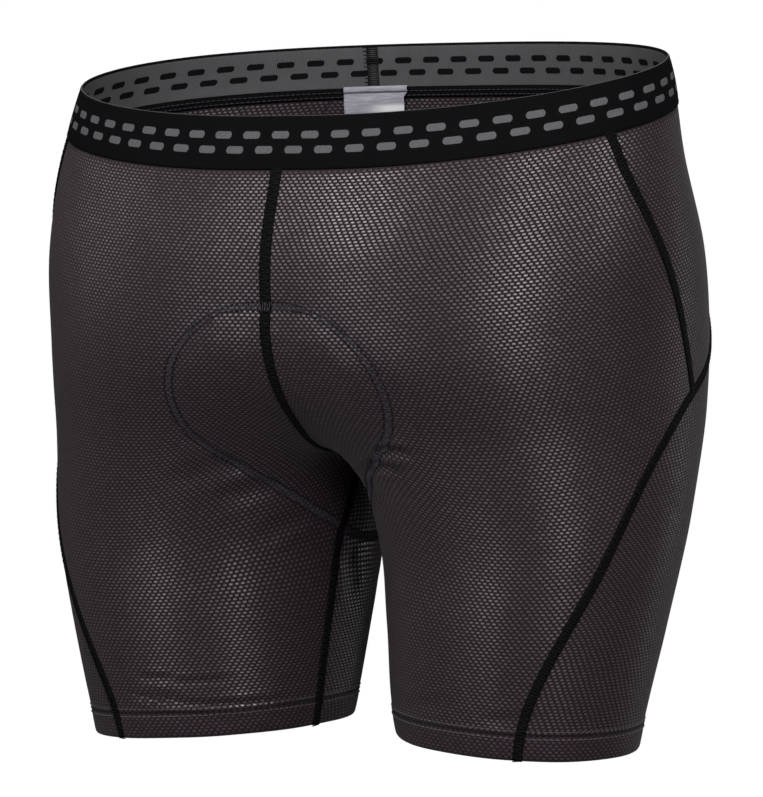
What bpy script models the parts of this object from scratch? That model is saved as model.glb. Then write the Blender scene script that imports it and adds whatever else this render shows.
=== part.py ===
"""Close-fitting under-shorts with a sewn-in seat pad, filled out with no wearer inside.

The cloth follows one body form: each leg and hip is a row of oval sections, and the two halves
run together in the middle. Every panel, seam, hem and band is laid on that form, so a change
of a section, a seam line or a thickness carries through to all the pieces. The left half is
worked out and the right half is its mirror. Sizes are in millimetres until the last step.
+X is the wearer's left, the front faces -Y and +Z is up; the origin is the middle of the
waist opening.
"""
import math

import bpy
import bmesh
import numpy as np
from mathutils import Vector
from mathutils.bvhtree import BVHTree

# Body form of the left half, one row per height
# height, centre x, centre y, reach outward, reach inward, reach forward, reach back
SECTIONS = np.array([
    (60.0, 10.5, -5.5, 134.0, 179.0, 93.0, 103.5),
    (0.0, 13.5, -7.5, 157.5, 186.5, 93.0, 109.5),
    (-50.0, 15.0, -17.5, 167.0, 187.0, 98.5, 124.0),
    (-100.0, 30.0, -14.0, 158.5, 150.5, 118.0, 140.0),
    (-150.0, 57.0, -9.5, 130.0, 118.5, 121.5, 138.5),
    (-200.0, 84.5, -13.0, 101.5, 84.0, 97.5, 118.5),
    (-250.0, 96.5, -12.5, 86.5, 84.5, 86.5, 89.0),
    (-300.0, 95.0, -16.0, 78.0, 78.0, 81.0, 75.5),
    (-350.0, 92.5, -22.0, 70.0, 71.0, 69.0, 63.0),
    (-400.0, 93.0, -21.5, 58.5, 58.5, 60.5, 55.5),
])
OUTER_POWER = 2.0
INNER_POWER = 2.3
JOIN_RADIUS = 16.0
TOE_OUT = 0.125
TOE_TOP = -187.0
TOE_DEPTH = 90.0

# Waist and hem
BAND_DEPTH = 25.8
BAND_PROUD = 0.8
BAND_THICK = 2.0
BAND_COLUMNS = 40
WAIST_SLOPE = 0.178
WAIST_BOW = -4.9
WAIST_FADE = -120.0
HEM_LEVEL = -363.3
HEM_DEPTH = 14.0
HEM_SLOPE = -0.057
HEM_PIVOT = 87.0
HEM_FADE = -250.0
HEM_THICK = 2.2
HEM_COLUMNS = 40

# Cloth
CLOTH_THICK = 1.2
SEAM_GAP = 0.3
TAPE_LIFT = 0.68
TAPE_THICK = 0.65
LAYING_REACH = 6.0
TAPE_WIDTH = 6.5
TAPE_STEP = 7.0
TAPE_STEP_CROTCH = 6.0

# Seam lines: height, angle round the section (0 outward, 90 back, -90 front)
FRONT_SIDE_SEAM = np.array([
    (-20.0, -28.5),
    (-37.0, -24.4),
    (-59.0, -20.2),
    (-83.0, -14.6),
    (-107.0, -9.1),
    (-134.0, -3.6),
    (-157.0, 0.6),
    (-176.0, 4.0),
])
SLANT_SEAM = np.array([
    (10.0, 70.0),
    (-20.0, 66.5),
    (-50.0, 61.5),
    (-80.0, 54.5),
    (-105.0, 46.0),
    (-130.0, 35.0),
    (-151.5, 24.0),
    (-162.5, 16.5),
    (-176.0, 4.0),
    (-205.0, -15.6),
    (-233.0, -30.9),
    (-253.0, -40.0),
    (-272.0, -47.0),
    (-294.0, -54.5),
    (-315.0, -62.0),
    (-343.0, -70.0),
    (-375.0, -74.0),
])
INSEAM = np.array([
    (-216.1, -184.9),
    (-222.0, -179.5),
    (-230.0, -176.0),
    (-241.0, -173.5),
    (-256.0, -171.3),
    (-278.0, -170.3),
    (-303.0, -169.2),
    (-325.0, -168.0),
    (-375.0, -167.5),
])
JUNCTION = -176.0

# Rows of the panels from the band down to the hem, closest together round the crotch
ROW_LEVELS = (
    -26.3, -38, -50, -62, -74, -86, -98, -110, -122, -134, -146, -157, -167, -176, -184.5,
    -192, -199, -205, -209.5, -212.8, -215, -216.06, -216.9, -218.4, -221, -225.5, -232,
    -241, -252, -264, -277, -290, -304, -319, -334, -348.8,
)
FRONT_COLUMNS = (0, .013, .032, .058, .095, .15, .23, .33, .44, .56, .68, .79, .9, 1)
SIDE_COLUMNS = (0, .2, .4, .6, .8, 1)
BACK_COLUMNS = (
    0, .075, .15, .225, .3, .375, .45, .525, .6, .675, .745, .81, .865, .91, .95, .978, 1,
)

# Seat pad: distance along the rise from its front end, half width there
PAD_START = 77.6
PAD_WIDTHS = np.array([
    (0.0, 14.0),
    (2.0, 27.0),
    (8.0, 40.0),
    (19.0, 55.0),
    (30.0, 64.0),
    (42.0, 68.0),
    (52.0, 67.5),
    (64.0, 64.5),
    (74.0, 57.5),
    (88.0, 50.0),
    (107.0, 44.0),
    (130.0, 41.0),
    (148.0, 41.5),
    (160.0, 45.0),
    (171.0, 48.5),
    (185.0, 53.0),
    (205.0, 60.0),
    (230.0, 68.0),
    (255.0, 72.0),
    (280.0, 70.0),
    (298.0, 61.0),
    (311.0, 46.0),
    (318.0, 30.0),
    (320.0, 16.0),
])
PAD_LENGTH = 320.0
PAD_ROWS = 34
PAD_STEPS = 50
PAD_COLUMNS = (0, 3, 7, 12, 19, 27, 35, 43, 50)
PAD_EDGE = 2.0
PAD_MIDDLE = 8.0
PAD_SLOPE = 24.0
PAD_GAP = 0.8
PAD_RELIEF = 2.0
PAD_RELIEF_SLOPE = 14.0

# Label inside the back
LABEL_CENTRE = -52.0
LABEL_WIDTH = 38.5
LABEL_TOP = -24.0
LABEL_DROP = 26.0
LABEL_GAP = 0.4
LABEL_THICK = 0.6
LABEL_COLUMNS = 9
LABEL_ROWS = 6

# Surface colours: red, green, blue, roughness
CLOTH = (0.050, 0.041, 0.045, 0.55)
BAND = (0.012, 0.012, 0.013, 0.75)
SEAM = (0.010, 0.010, 0.011, 0.70)
PAD = (0.030, 0.030, 0.034, 0.80)
LABEL = (0.62, 0.61, 0.64, 0.35)


def ramp(value):
    """Ease from 0 to 1."""
    clipped = np.clip(value, 0.0, 1.0)
    return clipped * clipped * (3.0 - 2.0 * clipped)


def smooth_table(table, height):
    """Read a table at a height along a smooth curve through its rows."""
    rows = table[np.argsort(table[:, 0])]
    keys = rows[:, 0]
    values = rows[:, 1:]
    slopes = np.gradient(values, keys, axis=0)
    place = np.clip(np.asarray(height, float), keys[0], keys[-1])
    row = np.clip(np.searchsorted(keys, place) - 1, 0, len(keys) - 2)
    span = (keys[row + 1] - keys[row])[..., None]
    part = (place - keys[row])[..., None] / span
    low = (1 + 2 * part) * (1 - part) ** 2 * values[row] + part * (1 - part) ** 2 * span * slopes[row]
    high = part ** 2 * (3 - 2 * part) * values[row + 1] + part ** 2 * (part - 1) * span * slopes[row + 1]
    return np.moveaxis(low + high, -1, 0)


def toe_out(height):
    """Share by which the leg turns outward below the hip."""
    return TOE_OUT * ramp((TOE_TOP - height) / TOE_DEPTH)


def section_point(height, angle):
    """Reach sideways before joining, x and y of the form at a height and an angle in radians."""
    centre_x, centre_y, out, inn, front, back = smooth_table(SECTIONS, height)
    along = np.cos(angle)
    across = np.sin(angle)
    half_x = np.where(along >= 0, out, inn)
    half_y = np.where(across >= 0, back, front)
    power = np.where(along >= 0, OUTER_POWER, INNER_POWER)
    radius = (np.abs(along) ** power + np.abs(across) ** power) ** (-1.0 / power)
    y = centre_y + half_y * across * radius
    reach = centre_x + half_x * along * radius - toe_out(height) * (y - centre_y)
    joined = np.sqrt(np.maximum(2 * JOIN_RADIUS * reach - JOIN_RADIUS ** 2, 0.0))
    return reach, np.where(reach >= JOIN_RADIUS, reach, joined), y


def form(points):
    """Zero on the body form, positive outside it."""
    x = np.abs(points[..., 0])
    reach = np.where(x >= JOIN_RADIUS, x, (x * x + JOIN_RADIUS ** 2) / (2 * JOIN_RADIUS))
    height = points[..., 2]
    centre_x, centre_y, out, inn, front, back = smooth_table(SECTIONS, height)
    side = reach - centre_x + toe_out(height) * (points[..., 1] - centre_y)
    depth = points[..., 1] - centre_y
    power = np.where(side >= 0, OUTER_POWER, INNER_POWER)
    wide = np.abs(side) / np.where(side >= 0, out, inn)
    deep = np.abs(depth) / np.where(depth >= 0, back, front)
    return wide ** power + deep ** power - 1.0


def slope_of_form(points):
    """Gradient of the form by small steps."""
    step = 0.05
    parts = []
    for axis in range(3):
        shift = np.zeros(3)
        shift[axis] = step
        parts.append((form(points + shift) - form(points - shift)) / (2 * step))
    return np.stack(parts, -1)


def normals(points):
    """Outward unit normals of the form."""
    slope = slope_of_form(points)
    return slope / np.linalg.norm(slope, axis=-1, keepdims=True)


def onto_form(points):
    """Move points onto the form."""
    moved = np.array(points, float)
    for _ in range(6):
        slope = slope_of_form(moved)
        size = np.sum(slope * slope, axis=-1)
        moved = moved - (form(moved) / size)[..., None] * slope
    return moved


def row_height(level, x, y):
    """Height on a row: rows tilt with the waist near the top and with the hem near the bottom."""
    waist = ramp((level - WAIST_FADE) / (-BAND_DEPTH - WAIST_FADE))
    hem = ramp((HEM_FADE - level) / (HEM_FADE - HEM_LEVEL - HEM_DEPTH))
    tilt = WAIST_SLOPE * y + WAIST_BOW * (y / 100.0) ** 2
    return level + waist * tilt + hem * HEM_SLOPE * (np.abs(x) - HEM_PIVOT)


def ring_points(level, angles):
    """Points of a row at the given angles, with the sideways reach before joining."""
    height = np.full_like(angles, float(level))
    for _ in range(8):
        reach, x, y = section_point(height, angles)
        height = row_height(level, x, y)
    return reach, np.stack([x, y, height], -1)


def row_line(level):
    """Fine line round the left half on a row: angles, points and length run."""
    start = math.radians(float(smooth_table(INSEAM, np.array(level))[0]))
    angles = np.linspace(start, start + 2 * math.pi, 2401)
    reach, points = ring_points(level, angles)
    if reach.min() < JOIN_RADIUS / 2:
        middle = int(np.argmin(np.abs(angles)))
        inside = reach < JOIN_RADIUS / 2
        first = middle - int(np.argmax(inside[middle::-1]))
        last = middle + int(np.argmax(inside[middle:]))
        front = np.interp(JOIN_RADIUS / 2, reach[first:first + 2], angles[first:first + 2])
        back = np.interp(-JOIN_RADIUS / 2, -reach[last - 1:last + 1], angles[last - 1:last + 1])
        angles = np.concatenate([[front], angles[first + 1:last], [back]])
        points = ring_points(level, angles)[1]
        points[0, 0] = 0.0
        points[-1, 0] = 0.0
    steps = np.linalg.norm(np.diff(points, axis=0), axis=1)
    return angles, points, np.concatenate([[0.0], np.cumsum(steps)])


def along_line(line, lengths):
    """Points of a row line at given lengths."""
    points = line[1]
    return np.stack([np.interp(lengths, line[2], points[:, axis]) for axis in range(3)], -1)


def seam_lengths(levels, lines, table):
    """Length along each row at which a seam crosses it, and half a seam gap measured there."""
    places = []
    for level, line in zip(levels, lines):
        height = float(level)
        for _ in range(8):
            angle = math.radians(float(smooth_table(table, np.array(height))[0]))
            height = float(np.interp(angle, line[0], line[1][:, 2]))
        places.append(float(np.interp(angle, line[0], line[2])))
    places = np.array(places)
    slant = np.gradient(places, np.array(levels, float))
    return places, SEAM_GAP / 2 * np.sqrt(1 + slant ** 2)


def rise_curve():
    """Centre line of the body in the plane x = 0, front to back, with its running length."""
    heights = np.concatenate([
        np.arange(-20.0, -196.0, -8.0),
        np.array([-200.0, -204, -207.5, -210.5, -212.7, -214.3, -215.3, -215.9, -216.05]),
    ])
    front = []
    back = []
    for height in heights:
        line = row_line(float(height))
        front.append(line[1][0, 1:])
        back.append(line[1][-1, 1:])
    bends = np.array(front + back[::-1])
    run = np.concatenate([[0.0], np.cumsum(np.linalg.norm(np.diff(bends, axis=0), axis=1))])
    fine = np.arange(0.0, run[-1], 1.0)
    curve = np.stack([np.zeros_like(fine), np.interp(fine, run, bends[:, 0]),
                      np.interp(fine, run, bends[:, 1])], -1)
    return fine, onto_centre(curve)


def onto_centre(points):
    """Move points onto the form and keep them in the centre plane."""
    moved = onto_form(points)
    moved[:, 0] = 0.0
    return moved


RISE_RUN, RISE = rise_curve()


def pad_half_width(run):
    """Half width of the pad at a distance along the rise from its front end."""
    return np.interp(run, PAD_WIDTHS[:, 0], PAD_WIDTHS[:, 1], left=0.0, right=0.0)


def inside_pad(points):
    """Distance in from the pad outline, negative outside it."""
    flat = points.reshape(-1, 3)
    gaps = np.linalg.norm(flat[:, None, :] - RISE[None, :, :], axis=2)
    nearest = np.argmin(gaps, axis=1)
    run = RISE_RUN[nearest] - PAD_START
    width = gaps[np.arange(len(flat)), nearest]
    inside = np.minimum(pad_half_width(run) - width, np.minimum(run, PAD_LENGTH - run))
    return inside.reshape(points.shape[:-1])


def cloth(points, offset):
    """Points of the form moved out by an offset, with the cloth raised over the pad."""
    relief = PAD_RELIEF * ramp(inside_pad(points) / PAD_RELIEF_SLOPE)
    return points + normals(points) * (relief + offset)[..., None]


def cloth_tree():
    """Search tree over the finished panels and hems, in millimetres."""
    vertices = []
    faces = []
    for item in bpy.data.objects:
        if item.name.startswith(("front_", "side_", "back_", "hem_")):
            first = len(vertices)
            vertices += [vertex.co * 1000.0 for vertex in item.data.vertices]
            faces += [[first + index for index in face.vertices] for face in item.data.polygons]
    return BVHTree.FromPolygons(vertices, faces)


def laid(tree, points, up, side, lift):
    """Points laid at a lift from the finished cloth: side is 1 outside it and -1 inside it."""
    start = points + up * side * LAYING_REACH
    drop = np.empty(points.shape[:-1])
    for index in np.ndindex(drop.shape):
        drop[index] = tree.find_nearest(Vector(start[index]))[3] - lift
    return start - up * side * drop[..., None]


def off_centre(points):
    """Keep a left-hand piece half a seam gap from the centre plane."""
    moved = points.copy()
    moved[..., 0] = np.maximum(moved[..., 0], SEAM_GAP / 2)
    return moved


def mirrored(points):
    """The same points on the right-hand side."""
    return points * np.array([-1.0, 1.0, 1.0])


def material(name, look):
    """A plain Principled material."""
    surface = bpy.data.materials.new(name)
    surface.use_nodes = True
    shader = surface.node_tree.nodes["Principled BSDF"]
    shader.inputs["Base Color"].default_value = (look[0], look[1], look[2], 1.0)
    shader.inputs["Roughness"].default_value = look[3]
    surface.diffuse_color = (look[0], look[1], look[2], 1.0)
    return surface


def solid(name, vertices, faces, look):
    """Make an object from points in millimetres and faces, turned outward and cut to triangles."""
    mesh = bpy.data.meshes.new(name)
    mesh.from_pydata((np.asarray(vertices) * 0.001).tolist(), [], faces)
    shape = bmesh.new()
    shape.from_mesh(mesh)
    bmesh.ops.recalc_face_normals(shape, faces=shape.faces)
    bmesh.ops.triangulate(shape, faces=shape.faces)
    shape.to_mesh(mesh)
    shape.free()
    mesh.materials.append(material(name, look))
    item = bpy.data.objects.new(name, mesh)
    bpy.context.scene.collection.objects.link(item)
    return item


def wall(name, outer, inner, look):
    """Closed wall between two grids of points that share their rows and columns."""
    rows, columns = outer.shape[:2]
    count = rows * columns
    faces = []
    for row in range(rows - 1):
        for column in range(columns - 1):
            corner = row * columns + column
            face = (corner, corner + 1, corner + columns + 1, corner + columns)
            faces.append(face)
            faces.append(tuple(count + index for index in reversed(face)))
    rim = [column for column in range(columns)]
    rim += [row * columns + columns - 1 for row in range(1, rows)]
    rim += [(rows - 1) * columns + column for column in range(columns - 2, -1, -1)]
    rim += [row * columns for row in range(rows - 2, 0, -1)]
    for here, there in zip(rim, rim[1:] + rim[:1]):
        faces.append((there, here, count + here, count + there))
    vertices = np.concatenate([outer.reshape(-1, 3), inner.reshape(-1, 3)])
    return solid(name, vertices, faces, look)


def hoop(name, profile_rows, look):
    """Closed hoop: profile_rows is (points round the profile, points round the hoop, 3)."""
    around, length = profile_rows.shape[:2]
    faces = []
    for index in range(around):
        other = (index + 1) % around
        for step in range(length):
            following = (step + 1) % length
            faces.append((index * length + step, index * length + following,
                          other * length + following, other * length + step))
    return solid(name, profile_rows.reshape(-1, 3), faces, look)


def strip(name, profile_rows, look):
    """Closed strip with flat ends: profile_rows is (points round the profile, points along, 3)."""
    around, length = profile_rows.shape[:2]
    faces = []
    for index in range(around):
        other = (index + 1) % around
        for step in range(length - 1):
            faces.append((index * length + step, index * length + step + 1,
                          other * length + step + 1, other * length + step))
    faces.append(tuple(index * length for index in range(around)))
    faces.append(tuple(index * length + length - 1 for index in reversed(range(around))))
    return solid(name, profile_rows.reshape(-1, 3), faces, look)


def panels():
    """Front, side and back panels of both halves."""
    levels = list(ROW_LEVELS)
    lines = [row_line(level) for level in levels]
    ends = np.array([line[2][-1] for line in lines])
    front_seam, front_gap = seam_lengths(levels, lines, FRONT_SIDE_SEAM)
    slant_seam, slant_gap = seam_lengths(levels, lines, SLANT_SEAM)
    apex = levels.index(JUNCTION)
    outer_edge = np.where(np.arange(len(levels)) < apex, front_seam, slant_seam)
    outer_gap = np.where(np.arange(len(levels)) < apex, front_gap, slant_gap)
    grids = {
        "front": [], "side": [], "back": [],
    }
    for index, line in enumerate(lines):
        low = SEAM_GAP / 2
        high = outer_edge[index] - outer_gap[index]
        grids["front"].append(along_line(line, low + (high - low) * np.array(FRONT_COLUMNS)))
        low = slant_seam[index] + slant_gap[index]
        high = ends[index] - SEAM_GAP / 2
        grids["back"].append(along_line(line, low + (high - low) * np.array(BACK_COLUMNS)))
        if index < apex:
            low = front_seam[index] + front_gap[index]
            high = slant_seam[index] - slant_gap[index]
            grids["side"].append(along_line(line, low + (high - low) * np.array(SIDE_COLUMNS)))
    for name, rows in grids.items():
        base = np.array(rows)
        outer = off_centre(cloth(base, 0.0))
        inner = off_centre(cloth(base, -CLOTH_THICK))
        wall(name + "_left", outer, inner, CLOTH)
        wall(name + "_right", mirrored(outer), mirrored(inner), CLOTH)


def waistband():
    """Elastic band, its edges slightly rounded, in two halves that meet at the centre planes."""
    profile = (
        (-0.3, BAND_PROUD - 0.5),
        (-1.2, BAND_PROUD),
        (-BAND_DEPTH / 2, BAND_PROUD + 0.1),
        (-BAND_DEPTH + 1.2, BAND_PROUD),
        (-BAND_DEPTH, BAND_PROUD - 0.4),
        (-BAND_DEPTH, BAND_PROUD - BAND_THICK),
        (-BAND_DEPTH / 2, BAND_PROUD - BAND_THICK),
        (-0.3, BAND_PROUD - BAND_THICK + 0.4),
    )
    rows = []
    for level, offset in profile:
        line = row_line(level)
        half = along_line(line, np.linspace(0.0, line[2][-1], BAND_COLUMNS + 1))
        rows.append(half + normals(half) * offset)
    rows = np.array(rows)
    rows[:, (0, -1), 0] = SEAM_GAP / 2
    strip("waistband_left", rows, BAND)
    strip("waistband_right", mirrored(rows), BAND)


def hems():
    """Turned-up hem at each leg opening, double cloth with a rounded fold."""
    top = HEM_LEVEL + HEM_DEPTH
    profile = (
        (top, 0.0),
        (HEM_LEVEL + 8.0, 0.0),
        (HEM_LEVEL + 1.2, 0.0),
        (HEM_LEVEL, -HEM_THICK / 2),
        (HEM_LEVEL + 1.2, -HEM_THICK),
        (HEM_LEVEL + 8.0, -HEM_THICK),
        (top, -HEM_THICK),
    )
    rows = []
    for level, offset in profile:
        line = row_line(level)
        ring = along_line(line, np.linspace(0.0, line[2][-1], HEM_COLUMNS + 1)[:-1])
        rows.append(ring + normals(ring) * offset)
    rows = np.array(rows)
    hoop("hem_left", rows, CLOTH)
    hoop("hem_right", mirrored(rows), CLOTH)


def walk(start, direction, distance, count):
    """Points reached by walking over the form from a start, sideways to the rise."""
    here = np.array(start)
    heading = np.array(direction, float)
    path = [here]
    for _ in range(count):
        ahead = onto_form((here + heading * distance / count)[None, :])[0]
        up = normals(ahead[None, :])[0]
        heading = ahead - here
        heading = heading - up * np.dot(heading, up)
        heading = heading / np.linalg.norm(heading)
        here = ahead
        path.append(here)
    return np.array(path)


def seat_pad(tree):
    """One-piece pad against the inside of the cloth, thick in the middle and thin at its edge."""
    runs = PAD_LENGTH * (1 - np.cos(np.linspace(0.0, math.pi, PAD_ROWS))) / 2
    runs = 0.6 * np.linspace(0.0, PAD_LENGTH, PAD_ROWS) + 0.4 * runs
    rows = []
    edges = []
    for run in runs:
        start = RISE[int(round(run + PAD_START))]
        half = float(pad_half_width(run))
        left = walk(start, (1.0, 0.0, 0.0), half, PAD_STEPS)[list(PAD_COLUMNS)]
        rows.append(np.concatenate([mirrored(left[:0:-1]), left]))
        reach = half * np.array(PAD_COLUMNS) / PAD_STEPS
        edge = np.minimum(half - reach, min(run, PAD_LENGTH - run))
        edges.append(np.concatenate([edge[:0:-1], edge]))
    base = np.array(rows)
    inside = np.array(edges)
    thickness = PAD_EDGE + (PAD_MIDDLE - PAD_EDGE) * ramp(inside / PAD_SLOPE)
    up = normals(base)
    outer = laid(tree, base, up, -1, PAD_GAP)
    wall("seat_pad", outer, outer - up * thickness[..., None], PAD)


def seam_path(table, top, bottom):
    """Fine line of a seam over the left half, between two levels."""
    levels = np.linspace(top, bottom, 240)
    path = []
    for level in levels:
        height = float(level)
        for _ in range(8):
            angle = math.radians(float(smooth_table(table, np.array(height))[0]))
            point = ring_points(float(level), np.array([angle]))[1][0]
            height = float(point[2])
        path.append(point)
    return np.array(path)


def even_steps(path, step):
    """Resample a line at even steps."""
    run = np.concatenate([[0.0], np.cumsum(np.linalg.norm(np.diff(path, axis=0), axis=1))])
    count = max(2, int(round(run[-1] / step)))
    places = np.linspace(0.0, run[-1], count + 1)
    return np.stack([np.interp(places, run, path[:, axis]) for axis in range(3)], -1)


def tape_grid(path, across, start=None, end=None):
    """Base points of a tape on the form along a path; start and end give slanted end cuts."""
    ahead = np.gradient(path, axis=0)
    ahead = ahead / np.linalg.norm(ahead, axis=1, keepdims=True)
    sideways = np.cross(normals(path), ahead)
    sideways = sideways / np.linalg.norm(sideways, axis=1, keepdims=True)
    for index, cut in ((0, start), (-1, end)):
        if cut is not None:
            cut = cut / np.linalg.norm(cut)
            share = float(np.dot(cut, sideways[index]))
            sideways[index] = cut / share
    half = TAPE_WIDTH / 2
    grid = [onto_form(path + sideways * half * place) for place in across]
    return np.stack(grid, 1)


def tape(tree, name, grid, both_sides=True):
    """Flat covering seam lying on the panels."""
    up = normals(grid)
    under = laid(tree, grid, up, 1, TAPE_LIFT)
    over = under + up * TAPE_THICK
    if not both_sides:
        wall(name, over, under, SEAM)
        return
    wall(name + "_left", over, under, SEAM)
    wall(name + "_right", mirrored(over), mirrored(under), SEAM)


def level_direction(point, level):
    """Direction of the row through a point, for end cuts that follow a row."""
    angles, points, _ = row_line(level)
    nearest = int(np.argmin(np.linalg.norm(points - point, axis=1)))
    nearest = min(max(nearest, 1), len(points) - 2)
    return points[nearest + 1] - points[nearest - 1]


def seams(tree):
    """Flat seams over the joins of the panels."""
    top = -BAND_DEPTH - 0.4
    bottom = HEM_LEVEL + 0.2

    first = row_line(top)[1][0]
    last = row_line(top)[1][-1]
    start = int(np.argmin(np.linalg.norm(RISE - first, axis=1))) + 1
    finish = int(np.argmin(np.linalg.norm(RISE - last, axis=1)))
    centre = np.concatenate([first[None, :], RISE[start:finish], last[None, :]])
    tape(tree, "seam_centre", tape_grid(even_steps(centre, TAPE_STEP_CROTCH), (-1, 0, 1)), False)

    path = seam_path(INSEAM, -216.4, bottom)
    clear = TAPE_WIDTH / 2 + SEAM_GAP + 0.3
    path = path[path[:, 0] > clear]
    end_cut = level_direction(path[-1], bottom)
    steps = even_steps(path, TAPE_STEP_CROTCH + 1.0)
    tape(tree, "seam_inseam", tape_grid(steps, (1, 0, -1), np.array([0.0, 1.0, 0.0]), end_cut))

    path = seam_path(SLANT_SEAM, top, bottom)
    start_cut = level_direction(path[0], top)
    end_cut = level_direction(path[-1], bottom)
    tape(tree, "seam_slant", tape_grid(even_steps(path, TAPE_STEP), (-1, 1), start_cut, end_cut))

    slant = path
    path = seam_path(FRONT_SIDE_SEAM, top, JUNCTION)
    gaps = np.linalg.norm(path[:, None, :] - slant[None, :, :], axis=2)
    nearest = np.argmin(gaps, axis=1)
    keep = gaps[np.arange(len(path)), nearest] > TAPE_WIDTH / 2 + 2 * SEAM_GAP
    path = path[keep]
    near = nearest[keep][-1]
    end_cut = slant[near + 1] - slant[near - 1]
    start_cut = level_direction(path[0], top)
    tape(tree, "seam_front_side", tape_grid(even_steps(path, TAPE_STEP), (-1, 1), start_cut, end_cut))


def label():
    """Small label hanging inside the back from the lower edge of the band."""
    rows = []
    for level in np.linspace(LABEL_TOP, LABEL_TOP - LABEL_DROP, LABEL_ROWS + 1):
        line = row_line(float(level))
        middle = line[2][-1] + LABEL_CENTRE
        places = middle + LABEL_WIDTH * np.linspace(-0.5, 0.5, LABEL_COLUMNS + 1)
        rows.append(mirrored(along_line(line, places)))
    base = np.array(rows)
    up = normals(base)
    gap = BAND_THICK - BAND_PROUD + LABEL_GAP
    wall("label", base - up * gap, base - up * (gap + LABEL_THICK), LABEL)


for old in list(bpy.data.objects):
    bpy.data.objects.remove(old, do_unlink=True)
panels()
waistband()
hems()
CLOTH_TREE = cloth_tree()
seat_pad(CLOTH_TREE)
seams(CLOTH_TREE)
label()
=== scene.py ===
import math
from functools import partial

import bpy
import numpy as np
from mathutils import Matrix, Vector


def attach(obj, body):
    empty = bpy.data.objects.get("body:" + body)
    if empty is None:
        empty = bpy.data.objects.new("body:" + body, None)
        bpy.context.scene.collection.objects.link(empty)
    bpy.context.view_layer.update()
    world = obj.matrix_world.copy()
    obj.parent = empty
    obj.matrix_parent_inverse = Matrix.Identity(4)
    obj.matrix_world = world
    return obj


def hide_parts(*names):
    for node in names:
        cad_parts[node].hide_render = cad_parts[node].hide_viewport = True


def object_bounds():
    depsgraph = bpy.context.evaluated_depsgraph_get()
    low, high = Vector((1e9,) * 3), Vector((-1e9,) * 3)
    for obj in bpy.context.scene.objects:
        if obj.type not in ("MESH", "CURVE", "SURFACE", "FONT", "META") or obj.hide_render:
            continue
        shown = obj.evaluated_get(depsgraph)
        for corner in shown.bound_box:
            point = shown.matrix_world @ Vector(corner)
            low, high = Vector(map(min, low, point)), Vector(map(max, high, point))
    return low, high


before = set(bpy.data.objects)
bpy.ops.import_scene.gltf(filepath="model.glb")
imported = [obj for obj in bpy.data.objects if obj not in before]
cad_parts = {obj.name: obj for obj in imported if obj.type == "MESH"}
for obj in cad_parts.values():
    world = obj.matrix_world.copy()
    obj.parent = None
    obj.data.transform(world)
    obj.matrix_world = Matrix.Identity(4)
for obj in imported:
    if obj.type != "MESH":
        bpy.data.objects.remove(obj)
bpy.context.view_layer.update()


# Front panels. Dark open-mesh knit in one layer, cut in a left and a right half that meet at the
# centre front and reach round to the slanting leg seam. They are sewn to the band above, to each
# other, to the side panels and to the backs with flat black seams, and lie on the body form.
# The form's sizes are in millimetres: height, centre x, centre y, out, inn, front, back.
MIRROR = np.array([-1.0, 1.0, 1.0])
SECTIONS = np.array([
    (60.0, 10.5, -5.5, 134.0, 179.0, 93.0, 103.5),
    (0.0, 13.5, -7.5, 157.5, 186.5, 93.0, 109.5),
    (-50.0, 15.0, -17.5, 167.0, 187.0, 98.5, 124.0),
    (-100.0, 30.0, -14.0, 158.5, 150.5, 118.0, 140.0),
    (-150.0, 57.0, -9.5, 130.0, 118.5, 121.5, 138.5),
    (-200.0, 84.5, -13.0, 101.5, 84.0, 97.5, 118.5),
    (-250.0, 96.5, -12.5, 86.5, 84.5, 86.5, 89.0),
    (-300.0, 95.0, -16.0, 78.0, 78.0, 81.0, 75.5),
    (-350.0, 92.5, -22.0, 70.0, 71.0, 69.0, 63.0),
    (-400.0, 93.0, -21.5, 58.5, 58.5, 60.5, 55.5),
])
OUTER_POWER = 2.0
INNER_POWER = 2.3
JOIN_RADIUS = 16.0
TOE_OUT = 0.125
TOE_TOP = -187.0
TOE_DEPTH = 90.0
BAND_DEPTH = 25.8
WAIST_SLOPE = 0.178
WAIST_BOW = -4.9
WAIST_FADE = -120.0
HEM_LEVEL = -363.3
HEM_DEPTH = 14.0
HEM_SLOPE = -0.057
HEM_PIVOT = 87.0
HEM_FADE = -250.0
CROTCH_LEVEL = -216.06

# Seam lines: height, angle round the section (0 outward, 90 back, -90 front)
FRONT_SIDE_SEAM = np.array([
    (-20.0, -28.5), (-37.0, -24.4), (-59.0, -20.2), (-83.0, -14.6), (-107.0, -9.1),
    (-134.0, -3.6), (-157.0, 0.6), (-176.0, 4.0),
])
SLANT_SEAM = np.array([
    (10.0, 70.0), (-20.0, 66.5), (-50.0, 61.5), (-80.0, 54.5), (-105.0, 46.0), (-130.0, 35.0),
    (-151.5, 24.0), (-162.5, 16.5), (-176.0, 4.0), (-205.0, -15.6), (-233.0, -30.9),
    (-253.0, -40.0), (-272.0, -47.0), (-294.0, -54.5), (-315.0, -62.0), (-343.0, -70.0),
    (-375.0, -74.0),
])
INSEAM = np.array([
    (-216.1, -184.9), (-222.0, -179.5), (-230.0, -176.0), (-241.0, -173.5), (-256.0, -171.3),
    (-278.0, -170.3), (-303.0, -169.2), (-325.0, -168.0), (-375.0, -167.5),
])
JUNCTION = -176.0

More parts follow.
